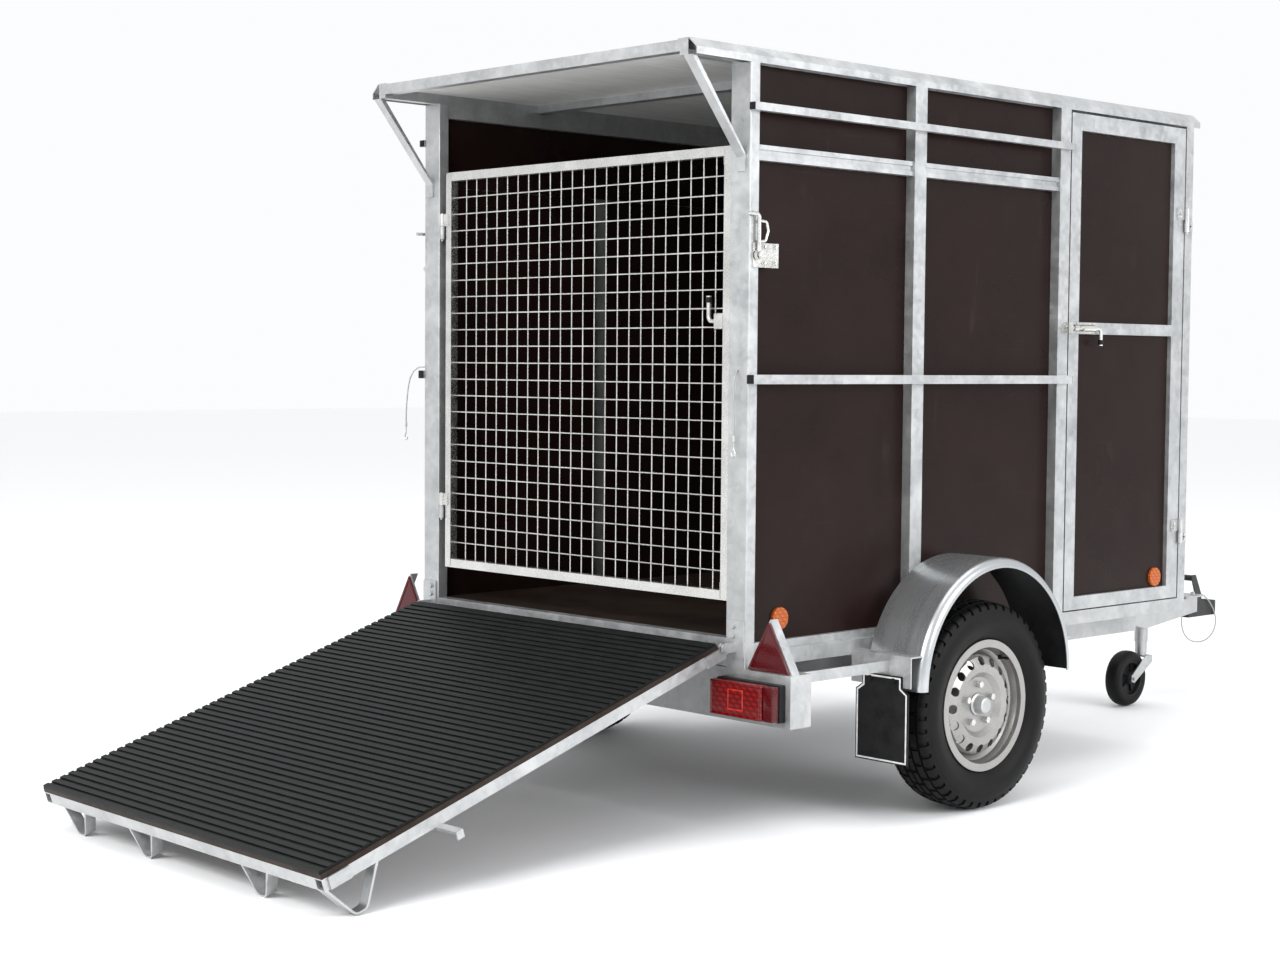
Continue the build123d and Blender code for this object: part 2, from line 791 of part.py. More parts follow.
def rounded_box(x, z, width, height, station, depth, corner):
    with BuildPart() as made:
        with BuildSketch(facing_rear(station)):
            with Locations((x, z)):
                RectangleRounded(width, height, corner)
        extrude(amount=depth)
        fillet(made.faces().sort_by(Axis.Y)[0].edges(), 3)
    return made.part


lamp_base = rounded_box(lamp_x, lamp_z, lamp_width, lamp_height, 0, base_depth, 5)
write("lamp_bases", *both(lamp_base))
lens_width = lamp_width - 6
main_lens = rounded_box(lamp_x - end_lens / 2, lamp_z, lens_width - end_lens, lamp_height - 6,
                        -base_depth, lens_depth, 4)
end_lens_piece = rounded_box(lamp_x + (lens_width - end_lens) / 2 + 0.5, lamp_z, end_lens - 1, lamp_height - 6,
                             -base_depth, lens_depth - 4, 4)
triangle_lens = triangle(triangle_x, post_foot_z + 4, triangle_side - 6, reflector, reflector)
write("red_lenses", *both(main_lens), *both(end_lens_piece), *both(triangle_lens))


def round_reflector(station, z, face_x):
    with BuildPart() as made:
        with BuildSketch(across(face_x)):
            with Locations((y_at(station), z)):
                Circle(30)
        extrude(amount=9)
        fillet(made.faces().sort_by(Axis.X)[-1].edges(), 3)
    return made.part


front_reflector_at = door_end_at - 112
reflector_z = 558
panel_face_x = inner_x + 2
rear_side_reflector = round_reflector(156, reflector_z, panel_face_x)
left_front_reflector = mirror(round_reflector(front_reflector_at, reflector_z, panel_face_x), about=Plane.YZ)
write("side_reflectors", *both(rear_side_reflector), left_front_reflector)


# ======================= hinges on the body =======================

gate_hinge_levels = (795, 1624)
door_hinge_levels = (700, 1690)
hinge_half = 38
pin_radius = hinge_pin / 2
slim_pin = 4
ear_start = ramp_width / 2 + 9
ear_end = ear_start + 6


def ramp_bracket():
    """Bolted plate on the rear post with an ear that holds the ramp's pin."""
    ear_y, plate_back = y_at(-hinge_back), y_at(-5)
    with BuildPart() as made:
        with BuildSketch(across(ear_start)):
            with Locations((ear_y, hinge_z)):
                Circle(14)
            with Locations(((ear_y + plate_back) / 2, hinge_z)):
                Rectangle(plate_back - ear_y, 24)
            with Locations((ear_y, hinge_z)):
                Circle(pin_radius + running_gap, mode=Mode.SUBTRACT)
        extrude(amount=ear_end - ear_start)
        with BuildSketch(facing_rear(0)):
            with Locations((half - rear_post_face / 2 + 2, hinge_z + 22)):
                Rectangle(rear_post_face - 10, 96)
        extrude(amount=5)
    heads = [rod((half - 40, -5, z), (half - 40, -11, z), 8) for z in (hinge_z + 32, hinge_z + 56)]
    return [made.part] + heads


ramp_pin_inner_x = ramp_width / 2 - 9
ramp_pin = rod((ramp_pin_inner_x, -hinge_back, hinge_z), (ear_end + 0.5, -hinge_back, hinge_z), pin_radius)
ramp_pin_head = rod((ear_end + 0.5, -hinge_back, hinge_z), (ear_end + 6, -hinge_back, hinge_z), pin_radius + 4)


def upright_hinge(x, station, z, leaf_x, leaf_station):
    """Fixed half of an upright hinge: lower knuckle with its leaf, and the pin standing in it."""
    low = z - hinge_half
    with BuildPart() as made:
        with BuildSketch(Plane.XY.offset(low)):
            with Locations((x, y_at(station))):
                Circle(knuckle)
            with Locations((sum(leaf_x) / 2, y_at(sum(leaf_station) / 2))):
                Rectangle(leaf_x[1] - leaf_x[0], leaf_station[1] - leaf_station[0])
            with Locations((x, y_at(station))):
                Circle(slim_pin + running_gap, mode=Mode.SUBTRACT)
        extrude(amount=hinge_half - 1)
    pin = rod((x, station, low - 6), (x, station, z + hinge_half), slim_pin)
    return [made.part, pin]


def upright_hinge_moving(x, station, z, leaf_x, leaf_station):
    """Moving half: upper knuckle with its leaf, dropped over the pin."""
    with BuildPart() as made:
        with BuildSketch(Plane.XY.offset(z)):
            with Locations((x, y_at(station))):
                Circle(knuckle)
            with Locations((sum(leaf_x) / 2, y_at(sum(leaf_station) / 2))):
                Rectangle(leaf_x[1] - leaf_x[0], leaf_station[1] - leaf_station[0])
            with Locations((x, y_at(station))):
                Circle(slim_pin + running_gap, mode=Mode.SUBTRACT)
        extrude(amount=hinge_half - 2)
    return made.part


hinge_pieces = [twin for piece in ramp_bracket() + [ramp_pin, ramp_pin_head] for twin in both(piece)]
for level in gate_hinge_levels:
    hinge_pieces += upright_hinge(gate_hinge_x, gate_hinge_at, level,
                                  (-post_inner_x, gate_hinge_x - 2), (gate_hinge_at, gate_hinge_at + 6))
for level in door_hinge_levels:
    hinge_pieces += upright_hinge(door_hinge_x, door_hinge_at, level,
                                  (half, half + 4), (door_hinge_at, front_at + 36))
write("body_hinges", *hinge_pieces)


# ======================= side latches and bolt keeper =======================

latch_plate = block((half, half + 4), (latch_at - 14, latch_at + 80), (latch_z - 31, latch_z + 31))
latch_pivot = rod((half + 4, latch_at, latch_z), (latch_x + 8, latch_at, latch_z), 5)
latch_pivot_head = rod((latch_x + 8, latch_at, latch_z), (latch_x + 14, latch_at, latch_z), 10)
door_rod_x = half + 12
door_rod_z = door_mid_rail_z + door_mid_rail / 2
keeper_start = door_post_at + 26
with BuildPart() as keeper:
    with BuildSketch(facing_rear(keeper_start + 22)):
        with Locations(((half + door_rod_x + 10) / 2, door_rod_z)):
            Rectangle(door_rod_x + 10 - half, 32)
        with Locations((door_rod_x, door_rod_z)):
            Circle(bolt_rod / 2 + 1, mode=Mode.SUBTRACT)
    extrude(amount=22)
write("latch_plates", *both(latch_plate), *both(latch_pivot), *both(latch_pivot_head), keeper.part)


def latch_lever(x):
    """Rod lever with a finger bent rearwards at its top and a D-shaped grip in front."""
    top = latch_z + latch_reach
    with BuildPart() as made:
        with BuildSketch(across(x - 5)):
            with Locations((y_at(latch_at), latch_z)):
                Circle(13)
        extrude(amount=10)
        add(bent_rod([(x, latch_at, latch_z + 8), (x, latch_at, top), (x, latch_at - 45, top)],
                     5, 10))
        add(bent_rod([(x, latch_at, top - 17), (x, latch_at + 27, top - 19),
                      (x, latch_at + 33, top - 42), (x, latch_at + 23, top - 68),
                      (x, latch_at, top - 70)], 4, 8))
        with BuildSketch(across(x - 6)):
            with Locations((y_at(latch_at), latch_z)):
                Circle(5 + running_gap)
        extrude(amount=12, mode=Mode.SUBTRACT)
    return made.part


write("latch_lever_right", latch_lever(latch_x))
write("latch_lever_left", latch_lever(-latch_x))


# ======================= loading ramp =======================

deck = Plane(origin=(0, y_at(-hinge_back), hinge_z), x_dir=(1, 0, 0), z_dir=(0, -sin(slope), cos(slope)))
mat_thickness = mat_base + mat_rib
board_foot = deck_top - mat_thickness - board
rail_foot = board_foot - ramp_rail
rail_x = ramp_width / 2 - ramp_rail / 2


def on_deck(x_span, run_span, level_span):
    """Block on the ramp: X, distance from the hinge axis down the ramp, height above the axis."""
    with BuildPart() as made:
        with BuildSketch(deck.offset(level_span[0])):
            with Locations((sum(x_span) / 2, -sum(run_span) / 2)):
                Rectangle(x_span[1] - x_span[0], run_span[1] - run_span[0])
        extrude(amount=level_span[1] - level_span[0])
    return made.part


def ramp_tube(x_span, run_span):
    """Square-tube member of the ramp's frame, hollow along its longer side."""
    runs_down = run_span[1] - run_span[0] > x_span[1] - x_span[0]
    middle = (rail_foot + board_foot) / 2
    inner = ramp_rail - 2 * wall
    with BuildPart() as made:
        add(on_deck(x_span, run_span, (rail_foot, board_foot)))
        if runs_down:
            hollow_x = (sum(x_span) / 2 - inner / 2, sum(x_span) / 2 + inner / 2)
            hollow_run = (run_span[0] - 1, run_span[1] + 1)
        else:
            hollow_x = (x_span[0] - 1, x_span[1] + 1)
            hollow_run = (sum(run_span) / 2 - inner / 2, sum(run_span) / 2 + inner / 2)
        add(on_deck(hollow_x, hollow_run, (middle - inner / 2, middle + inner / 2)), mode=Mode.SUBTRACT)
    return made.part


side_rail = ramp_tube((rail_x - ramp_rail / 2, ramp_width / 2), (ramp_start, ramp_length))
cross_half = rail_x - ramp_rail / 2
cross_count = 4
cross_pitch = (ramp_length - ramp_start - ramp_rail) / (cross_count - 1)
cross_members = [ramp_tube((-cross_half, cross_half),
                           (ramp_start + k * cross_pitch, ramp_start + k * cross_pitch + ramp_rail))
                 for k in range(cross_count)]


def ramp_lug():
    """Ear on the rail's outer face that turns on the hinge pin."""
    with BuildPart() as made:
        with BuildSketch(across(ramp_width / 2)):
            with Locations((y_at(-hinge_back), hinge_z)):
                Circle(14)
        extrude(amount=7)
        add(on_deck((ramp_width / 2, ramp_width / 2 + 7), (0, 70), (rail_foot, board_foot)))
        with BuildSketch(across(ramp_width / 2 - 1)):
            with Locations((y_at(-hinge_back), hinge_z)):
                Circle(pin_radius + running_gap)
        extrude(amount=9, mode=Mode.SUBTRACT)
    return made.part


catch_foot = rail_foot - 8
catch_bar = on_deck((rail_x - ramp_rail / 2, latch_x + 16), (catch_at - 10, catch_at + 10), (catch_foot, rail_foot))
catch_lip = on_deck((latch_x + 10, latch_x + 16), (catch_at - 10, catch_at + 10), (catch_foot - 12, catch_foot))
side_sleeve = on_deck((ramp_width / 2, ramp_width / 2 + 5), (ramp_length - 74, ramp_length - 14),
                      (rail_foot, board_foot))
write("ramp_frame", *both(side_rail), *cross_members, *both(ramp_lug()), *both(catch_bar), *both(catch_lip),
      *both(side_sleeve))

write("ramp_board", on_deck((-ramp_width / 2, ramp_width / 2), (ramp_start, ramp_length),
                            (board_foot, board_foot + board)))


def ramp_mat():
    """Rubber mat with cross ribs; the last rib ends flush with the ramp's tip."""
    base_foot = board_foot + board
    half_mat = ramp_width / 2 - 4
    with BuildPart() as made:
        with BuildSketch(deck.offset(base_foot)):
            with Locations((0, -(ramp_start + ramp_length) / 2)):
                Rectangle(2 * half_mat, ramp_length - ramp_start)
        extrude(amount=mat_base)
        rib_count = int((ramp_length - ramp_start) // mat_rib_pitch)
        with BuildSketch(deck.offset(base_foot + mat_base)):
            for k in range(rib_count):
                run = ramp_length - mat_rib_width / 2 - k * mat_rib_pitch
                with Locations((0, -run)):
                    Rectangle(2 * half_mat, mat_rib_width)
        extrude(amount=mat_rib)
    return made.part


write("ramp_mat", ramp_mat())


def deck_level_at_ground(run):
    """Height along the ramp's normal, from the hinge axis, at which a point at run meets the ground."""
    return (run * sin(slope) - hinge_z) / cos(slope)


def foot_outline(centre, level, bottom, spread):
    """U with slanted legs, as outer and inner outlines of one flat bar."""
    land, t = 17, foot_bar
    outer = [(centre - spread, level), (centre - land, bottom), (centre + land, bottom), (centre + spread, level)]
    inner = [(centre + spread - 1.6 * t, level), (centre + land - 0.5 * t, bottom + t),
             (centre - land + 0.5 * t, bottom + t), (centre - spread + 1.6 * t, level)]
    return outer + inner


def tip_foot(x):
    """Foot across the ramp, under its tip member."""
    bottom = deck_level_at_ground(ramp_length)
    plane = Plane(origin=deck.from_local_coords((0, -ramp_length, 0)), x_dir=(1, 0, 0), z_dir=deck.y_dir)
    outline = [(px, -level) for px, level in foot_outline(x, rail_foot, bottom, foot_spread)]
    with BuildPart() as made:
        with BuildSketch(plane) as face:
            with BuildLine():
                Polyline(*outline, close=True)
            make_face()
            fillet(face.vertices().sort_by(Axis.Y)[-4:-2], 15)
            fillet(face.vertices().sort_by(Axis.Y)[-2:], 20)
        extrude(amount=foot_bar_width)
    return made.part


def side_foot(x_outer, run_centre):
    """Foot along the ramp, under its side rail."""
    bottom = deck_level_at_ground(run_centre + 20)
    plane = Plane(origin=deck.from_local_coords((x_outer - foot_bar_width, 0, 0)), x_dir=deck.y_dir,
                  z_dir=(1, 0, 0))
    outline = [(-run, level) for run, level in foot_outline(run_centre, rail_foot, bottom, side_foot_spread)]
    with BuildPart() as made:
        with BuildSketch(plane) as face:
            with BuildLine():
                Polyline(*outline, close=True)
            make_face()
            fillet(face.vertices().sort_by(Axis.Y)[2:4], 15)
            fillet(face.vertices().sort_by(Axis.Y)[:2], 20)
        extrude(amount=foot_bar_width)
    return made.part


tip_foot_centres = (-484, -157, 347)
side_foot_run = ramp_length - side_foot_spread
ramp_feet = [tip_foot(x) for x in tip_foot_centres] + [side_foot(ramp_width / 2, side_foot_run)]
write("ramp_feet", *ramp_feet)


# ======================= mesh gate =======================

gate_mid = gate_at + gate_bar / 2
bolt_station = gate_at + gate_bar / 4
block_width = 31


def gate_member(start, end):
    return bar((start[0], gate_mid, start[1]), (end[0], gate_mid, end[1]), gate_bar, gate_bar, wall)


left_mid, right_mid = gate_left + gate_bar / 2, gate_right - gate_bar / 2
gate_members = [gate_member((left_mid, gate_foot_z), (left_mid, gate_top_z)),
                gate_member((left_mid + gate_bar / 2, gate_foot_z + gate_bar / 2),
                            (right_mid - gate_bar / 2, gate_foot_z + gate_bar / 2)),
                gate_member((left_mid + gate_bar / 2, gate_top_z - gate_bar / 2),
                            (right_mid - gate_bar / 2, gate_top_z - gate_bar / 2))]
with BuildPart() as bolt_stile:
    add(gate_member((right_mid, gate_foot_z), (right_mid, gate_top_z)))
    with BuildSketch(across(gate_right - gate_bar - 1)):
        with Locations((y_at(bolt_station), gate_bolt_z)):
            Circle(bolt_rod / 2 + seat_gap)
    extrude(amount=gate_bar + 2, mode=Mode.SUBTRACT)
with BuildPart() as bolt_block:
    with BuildSketch(across(gate_right - gate_bar - block_width)):
        with Locations((y_at(bolt_station), gate_bolt_z)):
            RectangleRounded(15.5, 42, 4)
        with Locations((y_at(bolt_station), gate_bolt_z)):
            Circle(bolt_rod / 2 + seat_gap, mode=Mode.SUBTRACT)
    extrude(amount=block_width)
gate_knuckles = [upright_hinge_moving(gate_hinge_x, gate_hinge_at, level, (gate_hinge_x + 2, gate_left + 14),
                                      (gate_hinge_at - 0.5, gate_at)) for level in gate_hinge_levels]
write("gate_frame", *gate_members, bolt_stile.part, bolt_block.part, *gate_knuckles)

mesh_left, mesh_right = gate_left + gate_bar, gate_right - gate_bar
mesh_foot, mesh_top = gate_foot_z + gate_bar, gate_top_z - gate_bar
level_wire_at = gate_at + 17
upright_wire_at = level_wire_at + wire + running_gap
upright_pitch = (mesh_right - mesh_left) / (upright_wires + 1)
level_pitch = (mesh_top - mesh_foot) / (level_wires + 1)
uprights = [rod((mesh_left + upright_pitch * (k + 1), upright_wire_at, mesh_foot),
                (mesh_left + upright_pitch * (k + 1), upright_wire_at, mesh_top), wire / 2)
            for k in range(upright_wires)]
levels = [rod((mesh_left, level_wire_at, mesh_foot + level_pitch * (k + 1)),
              (mesh_right, level_wire_at, mesh_foot + level_pitch * (k + 1)), wire / 2)
          for k in range(level_wires)]
write("gate_mesh", *uprights, *levels)


def gate_bolt():
    """Round bolt with its end bent up as a handle under a black cap."""
    handle_x = gate_right - gate_bar - block_width - 26
    shank = bent_rod([(post_inner_x - 1, bolt_station, gate_bolt_z), (handle_x, bolt_station, gate_bolt_z),
                      (handle_x, bolt_station, gate_bolt_z + 48)], bolt_rod / 2, 14)
    cap = rod((handle_x, bolt_station, gate_bolt_z + 48), (handle_x, bolt_station, gate_bolt_z + 66), bolt_rod / 2 + 1)
    return shank, cap


write("gate_bolt", *gate_bolt())


# ======================= side door =======================

door_mid_x = half - door_depth / 2


def door_upright(start, width):
    station = start + width / 2
    return bar((door_mid_x, station, door_foot_z), (door_mid_x, station, door_top_z), door_depth, width, wall)


def door_level(low, height):
    z = low + height / 2
    return bar((door_mid_x, door_start_at + door_stile, z), (door_mid_x, door_end_at - door_hinge_stile, z),
               door_depth, height, wall)


top_rail_low = door_top_z - door_stile
door_bars = [door_upright(door_start_at, door_stile), door_upright(door_end_at - door_hinge_stile, door_hinge_stile),
             door_level(door_foot_z, door_rail), door_level(door_mid_rail_z, door_mid_rail),
             door_level(top_rail_low, door_stile)]
door_knuckles = [upright_hinge_moving(door_hinge_x, door_hinge_at, level, (half, half + 4),
                                      (door_end_at - 44, door_hinge_at)) for level in door_hinge_levels]
write("door_frame", *door_bars, *door_knuckles)

door_board_outer = half - 14


def door_panel(low, high):
    return block((door_board_outer - board, door_board_outer),
                 (door_start_at + door_stile, door_end_at - door_hinge_stile), (low, high))


write("door_panels", door_panel(door_foot_z + door_rail, door_mid_rail_z),
      door_panel(door_mid_rail_z + door_mid_rail, top_rail_low))
write("door_reflector", round_reflector(front_reflector_at, reflector_z, door_board_outer))

barrel_start, barrel_end = door_start_at + 52, door_start_at + 112
door_base = block((half, half + 3), (door_start_at + 2, door_start_at + 122), (door_rod_z - 16, door_rod_z + 16))


def barrel(start, end):
    with BuildPart() as made:
        with BuildSketch(facing_rear(end)):
            with Locations(((half + 3 + door_rod_x) / 2, door_rod_z)):
                Rectangle(door_rod_x - half - 3, 20)
            with Locations((door_rod_x, door_rod_z)):
                Circle(10)
                Circle(bolt_rod / 2 + seat_gap, mode=Mode.SUBTRACT)
        extrude(amount=end - start)
    return made.part


screws = [rod((half + 3, door_start_at + station, door_rod_z + rise), (half + 6, door_start_at + station,
          door_rod_z + rise), 4) for station in (36, 118) for rise in (-11, 11)]
write("door_bolt_base", door_base, barrel(door_start_at + 6, door_start_at + 24), barrel(barrel_start, barrel_end),
      *screws)
door_handle_at = barrel_end + 36
door_rod = bent_rod([(door_rod_x, door_start_at - 3, door_rod_z), (door_rod_x, door_handle_at, door_rod_z),
                     (door_rod_x, door_handle_at, door_rod_z - 34)], bolt_rod / 2, 14)
door_tip = rod((door_rod_x, door_handle_at, door_rod_z - 34), (door_rod_x, door_handle_at, door_rod_z - 52),
               bolt_rod / 2 + 1)
write("door_bolt", door_rod, door_tip)


# ======================= coupling =======================

ball_at = nose_reach - coupling_half_width
socket_depth = 42


def coupling_head():
    """Pressed head with a rounded nose over a ball socket, and a tail bolted under the drawbar plate."""
    head_start = arm_end_at + 12
    w = coupling_half_width
    with BuildPart() as made:
        with BuildSketch(Plane.XY.offset(coupling_foot_z)):
            with Locations((0, y_at(ball_at))):
                Circle(w)
            with Locations((0, y_at((head_start + ball_at) / 2))):
                Rectangle(2 * w - 6, ball_at - head_start)
        extrude(amount=coupling_top_z - coupling_foot_z)
        slope_cut = [(y_at(nose_reach + 1), coupling_foot_z + socket_depth + 10),
                     (y_at(nose_reach + 1), coupling_top_z + 1), (y_at(head_start + 60), coupling_top_z + 1),
                     (y_at(head_start + 60), coupling_top_z)]
        with BuildSketch(across(-w - 1)):
            with BuildLine():
                Polyline(*slope_cut, close=True)
            make_face()
        extrude(amount=2 * w + 2, mode=Mode.SUBTRACT)
        with BuildSketch(Plane.XY.offset(arm_foot_z)):
            with Locations((0, y_at((tail_start_at + head_start + 4) / 2))):
                Rectangle(62, head_start + 4 - tail_start_at)
        extrude(amount=chassis_foot_z - arm_foot_z)
        with BuildSketch(Plane.XY.offset(coupling_foot_z)):
            with Locations((0, y_at(ball_at))):
                Circle(ball_radius)
        extrude(amount=socket_depth, mode=Mode.SUBTRACT)
        with BuildSketch(across(-w - 1)):
            with Locations((y_at(head_start + 62), coupling_top_z - 16)):
                Circle(slim_pin + running_gap)
        extrude(amount=2 * w + 2, mode=Mode.SUBTRACT)
    return made.part


handle_pivot_at = arm_end_at + 74
handle_pivot_z = coupling_top_z - 16
handle_pin = rod((-coupling_half_width - 5, handle_pivot_at, handle_pivot_z),
                 (coupling_half_width + 5, handle_pivot_at, handle_pivot_z), slim_pin)
write("coupling_head", coupling_head(), handle_pin)


def coupling_handle():
    """Two cheeks on the head's cross pin and a grip plate behind and above them."""
    cheek = [(y_at(handle_pivot_at + 12), handle_pivot_z - 8), (y_at(handle_pivot_at + 12), handle_pivot_z + 30),
             (y_at(handle_pivot_at - 30), coupling_top_z + 92), (y_at(handle_pivot_at - 62), coupling_top_z + 92),
             (y_at(handle_pivot_at - 14), handle_pivot_z - 8)]
    cheeks = []
    inner = coupling_half_width + 0.5
    for start in (inner, -inner - 4):
        with BuildPart() as made:
            with BuildSketch(across(start)) as face:
                with BuildLine():
                    Polyline(*cheek, close=True)
                make_face()
                fillet(face.vertices(), 4)
                with Locations((y_at(handle_pivot_at), handle_pivot_z)):
                    Circle(slim_pin + running_gap, mode=Mode.SUBTRACT)
            extrude(amount=4)
        cheeks.append(made.part)
    grip = rod((-inner - 4, handle_pivot_at - 46, coupling_top_z + 80),
               (inner + 4, handle_pivot_at - 46, coupling_top_z + 80), 11)
    with BuildPart() as whole:
        for piece in cheeks:
            add(piece)
        add(grip)
    return whole.part


write("coupling_handle", coupling_handle())


# ======================= jockey wheel =======================

def jockey_ring(z_low, z_high, outer, bore):
    return rod((jockey_x, jockey_at, z_low), (jockey_x, jockey_at, z_high), outer, bore)


clamp_low, clamp_high = 310, 350
clamp_z = (clamp_low + clamp_high) / 2
clamp_outer = jockey_tube_radius + 6
screw_at = jockey_at + clamp_outer + 12
ear_gap = 4
ear_thick = 12


def jockey_clamp():
    """Split ring on the right arm's inner face, with two ears drawn together by the screw."""
    with BuildPart() as made:
        with BuildSketch(Plane.XY.offset(clamp_low)):
            with Locations((jockey_x, y_at(jockey_at))):
                Circle(clamp_outer)
            with BuildLine():
                Polyline((jockey_x, y_at(jockey_at - 18)),
                         (arm_inner_face(jockey_at - 18), y_at(jockey_at - 18)),
                         (arm_inner_face(jockey_at + 18), y_at(jockey_at + 18)),
                         (jockey_x, y_at(jockey_at + 18)), close=True)
            make_face()
            with Locations((jockey_x, y_at(jockey_at + clamp_outer + 5))):
                Rectangle(2 * ear_thick + ear_gap, 40)
            with Locations((jockey_x, y_at(jockey_at + clamp_outer + 5))):
                Rectangle(ear_gap, 60, mode=Mode.SUBTRACT)
            with Locations((jockey_x, y_at(jockey_at))):
                Circle(jockey_tube_radius + running_gap, mode=Mode.SUBTRACT)
        extrude(amount=clamp_high - clamp_low)
        with BuildSketch(across(jockey_x - 40)):
            with Locations((y_at(screw_at), clamp_z)):
                Circle(5 + running_gap)
        extrude(amount=80, mode=Mode.SUBTRACT)
    return made.part


write("jockey_clamp", jockey_clamp())

screw_start = jockey_x - clamp_outer - 11          # the cross bar swings past the ring
screw_collar = jockey_x - ear_thick - ear_gap / 2 - 2
with BuildPart() as clamp_screw:
    add(rod((screw_start, screw_at, clamp_z), (jockey_x + ear_thick + 12, screw_at, clamp_z), 5))
    add(rod((screw_collar - 10, screw_at, clamp_z), (screw_collar, screw_at, clamp_z), 9))
    add(rod((screw_start + 4, screw_at, clamp_z - 38), (screw_start + 4, screw_at, clamp_z + 38), 5))
write("clamp_screw", clamp_screw.part)

cap_height = 8
spindle = 6
tube_cap = jockey_ring(jockey_tube_top_z, jockey_tube_top_z + cap_height, jockey_tube_radius, spindle + running_gap)
write("jockey_tube",
      jockey_ring(jockey_tube_foot_z, jockey_tube_top_z, jockey_tube_radius, jockey_tube_bore), tube_cap)
fork_top_z = 2 * jockey_wheel_radius - 13
inner_top_z = 560
write("jockey_inner_tube",
      jockey_ring(fork_top_z + seat_gap, inner_top_z, jockey_inner_radius, 18),
      jockey_ring(inner_top_z - 20, inner_top_z, 18, spindle + seat_gap))


def jockey_crank():
    """Crank arm and grip on the threaded spindle."""
    base = jockey_tube_top_z + cap_height + 1
    with BuildPart() as made:
        add(jockey_ring(base, base + 22, 13, 0))
        add(bar((jockey_x, jockey_at, base + 11), (jockey_x - crank_reach, jockey_at, base + 11), 20, 8))
        add(rod((jockey_x - crank_reach, jockey_at, base + 5), (jockey_x - crank_reach, jockey_at, base + 105), 11))
    spindle_rod = jockey_ring(300, base, spindle, 0)
    return made.part, spindle_rod


write("jockey_crank", *jockey_crank())

strap_inner = jockey_wheel_width / 2 + 3
strap = 4
jockey_hub_at = jockey_at - jockey_trail


def jockey_fork():
    """Swivel head, bridge plate and two straps down to the wheel's bolt."""
    outline = [(y_at(jockey_at - 20), fork_top_z - 10), (y_at(jockey_at + 22), fork_top_z - 10),
               (y_at(jockey_at + 22), fork_top_z - 34),
               (y_at(jockey_hub_at + 6), jockey_wheel_radius - 15), (y_at(jockey_hub_at - 12), jockey_wheel_radius - 9),
               (y_at(jockey_hub_at - 12), jockey_wheel_radius + 11)]
    with BuildPart() as made:
        add(jockey_ring(fork_top_z - 10, fork_top_z, 20, 0))
        add(block((jockey_x - strap_inner - strap, jockey_x + strap_inner + strap),
                  (jockey_at - 20, jockey_at + 22), (fork_top_z - 15, fork_top_z - 10)))
        for start in (jockey_x - strap_inner - strap, jockey_x + strap_inner):
            add(profile(across(start), outline, strap))
        add(rod((jockey_x - strap_inner - strap - 6, jockey_hub_at, jockey_wheel_radius),
                (jockey_x + strap_inner + strap + 6, jockey_hub_at, jockey_wheel_radius), 6))
    return made.part


write("jockey_fork", jockey_fork())


def jockey_wheel():
    """Solid tyre on a two-flange hub, bored for the fork's bolt."""
    centre = (jockey_x, y_at(jockey_hub_at), jockey_wheel_radius)
    section = Plane(origin=centre, x_dir=(1, 0, 0), z_dir=(0, -1, 0))
    w = jockey_wheel_width / 2
    r = jockey_wheel_radius
    bore = 6 + running_gap
    tyre_outline = [(-w, 62), (-w, 84), (-w + 9, r - 3), (0, r), (w - 9, r - 3), (w, 84), (w, 62)]
    hub_outline = [(-w, bore), (-w, 20), (-8, 24), (-8, 54), (-w + 2, 58), (-w + 2, 62), (w - 2, 62),
                   (w - 2, 58), (8, 54), (8, 24), (w, 20), (w, bore)]
    pieces = []
    for outline in (tyre_outline, hub_outline):
        with BuildPart() as made:
            with BuildSketch(section):
                with BuildLine():
                    Polyline(*outline, close=True)
                make_face()
            revolve(axis=Axis(centre, (1, 0, 0)))
        pieces.append(made.part)
    return pieces


write("jockey_wheel", *jockey_wheel())


# ======================= wires and cable =======================

def bend_radii(points):
    """Largest bend at each corner that its two runs leave room for."""
    radii = []
    for before, corner, after in zip(points, points[1:], points[2:]):
        run_in = Vector(*corner) - Vector(*before)
        run_out = Vector(*after) - Vector(*corner)
        half_turn = radians(run_in.get_angle(run_out)) / 2
        radii.append(0.45 * min(run_in.length, run_out.length) / tan(half_turn))
    return radii


def cord(label, points, diameter):
    """Cord along points (x, station, z): straight runs joined by tangent arcs."""
    path = [(x, y_at(station), z) for x, station, z in points]
    radii = bend_radii(path)
    with BuildPart() as made:
        with BuildLine() as route:
            FilletPolyline(*path, radius=radii)
        with BuildSketch(Plane(origin=path[0], z_dir=Vector(*path[1]) - Vector(*path[0]))):
            Circle(diameter / 2)
        sweep(path=route.wire())
    length = route.wire().length
    print(label, "length", round(length, 1), "volume ratio",
          round(made.part.volume / (pi * diameter ** 2 / 4 * length), 4),
          "radii", [round(radius) for radius in radii])
    write(label, made.part)


wire_diameter = 4
cable_diameter = 5

left_wire = [(-half - 0.7, 8, 1206), (-half - 17, 3, 1207), (-half - 33, -3, 1203), (-half - 46, -9, 1191),
             (-half - 55, -13, 1172), (-half - 60, -16, 1146), (-half - 63, -18, 1112), (-half - 65, -19.5, 1074),
             (-half - 66, -19, 1040)]
right_wire = [(half - 37, -1.4, 1207), (half - 37, -8, 1197), (half - 38, -11, 1177), (half - 39.4, -12, 1148),
              (half - 39.7, -11, 1112), (half - 39.4, -10, 1074), (half - 39, -10.4, 1040)]
cable = [(24, 3118, 346.9), (25, 3134, 362), (30, 3160, 366), (38, 3192, 352), (43, 3228, 324),
         (46, 3256, 284), (46, 3268, 244), (43, 3252, 206), (40, 3214, 182), (38, 3164, 176), (40, 3112, 183),
         (48, 3058, 203), (62, 3008, 236), (74, 2980, 272), (78, 2974, 302.2)]
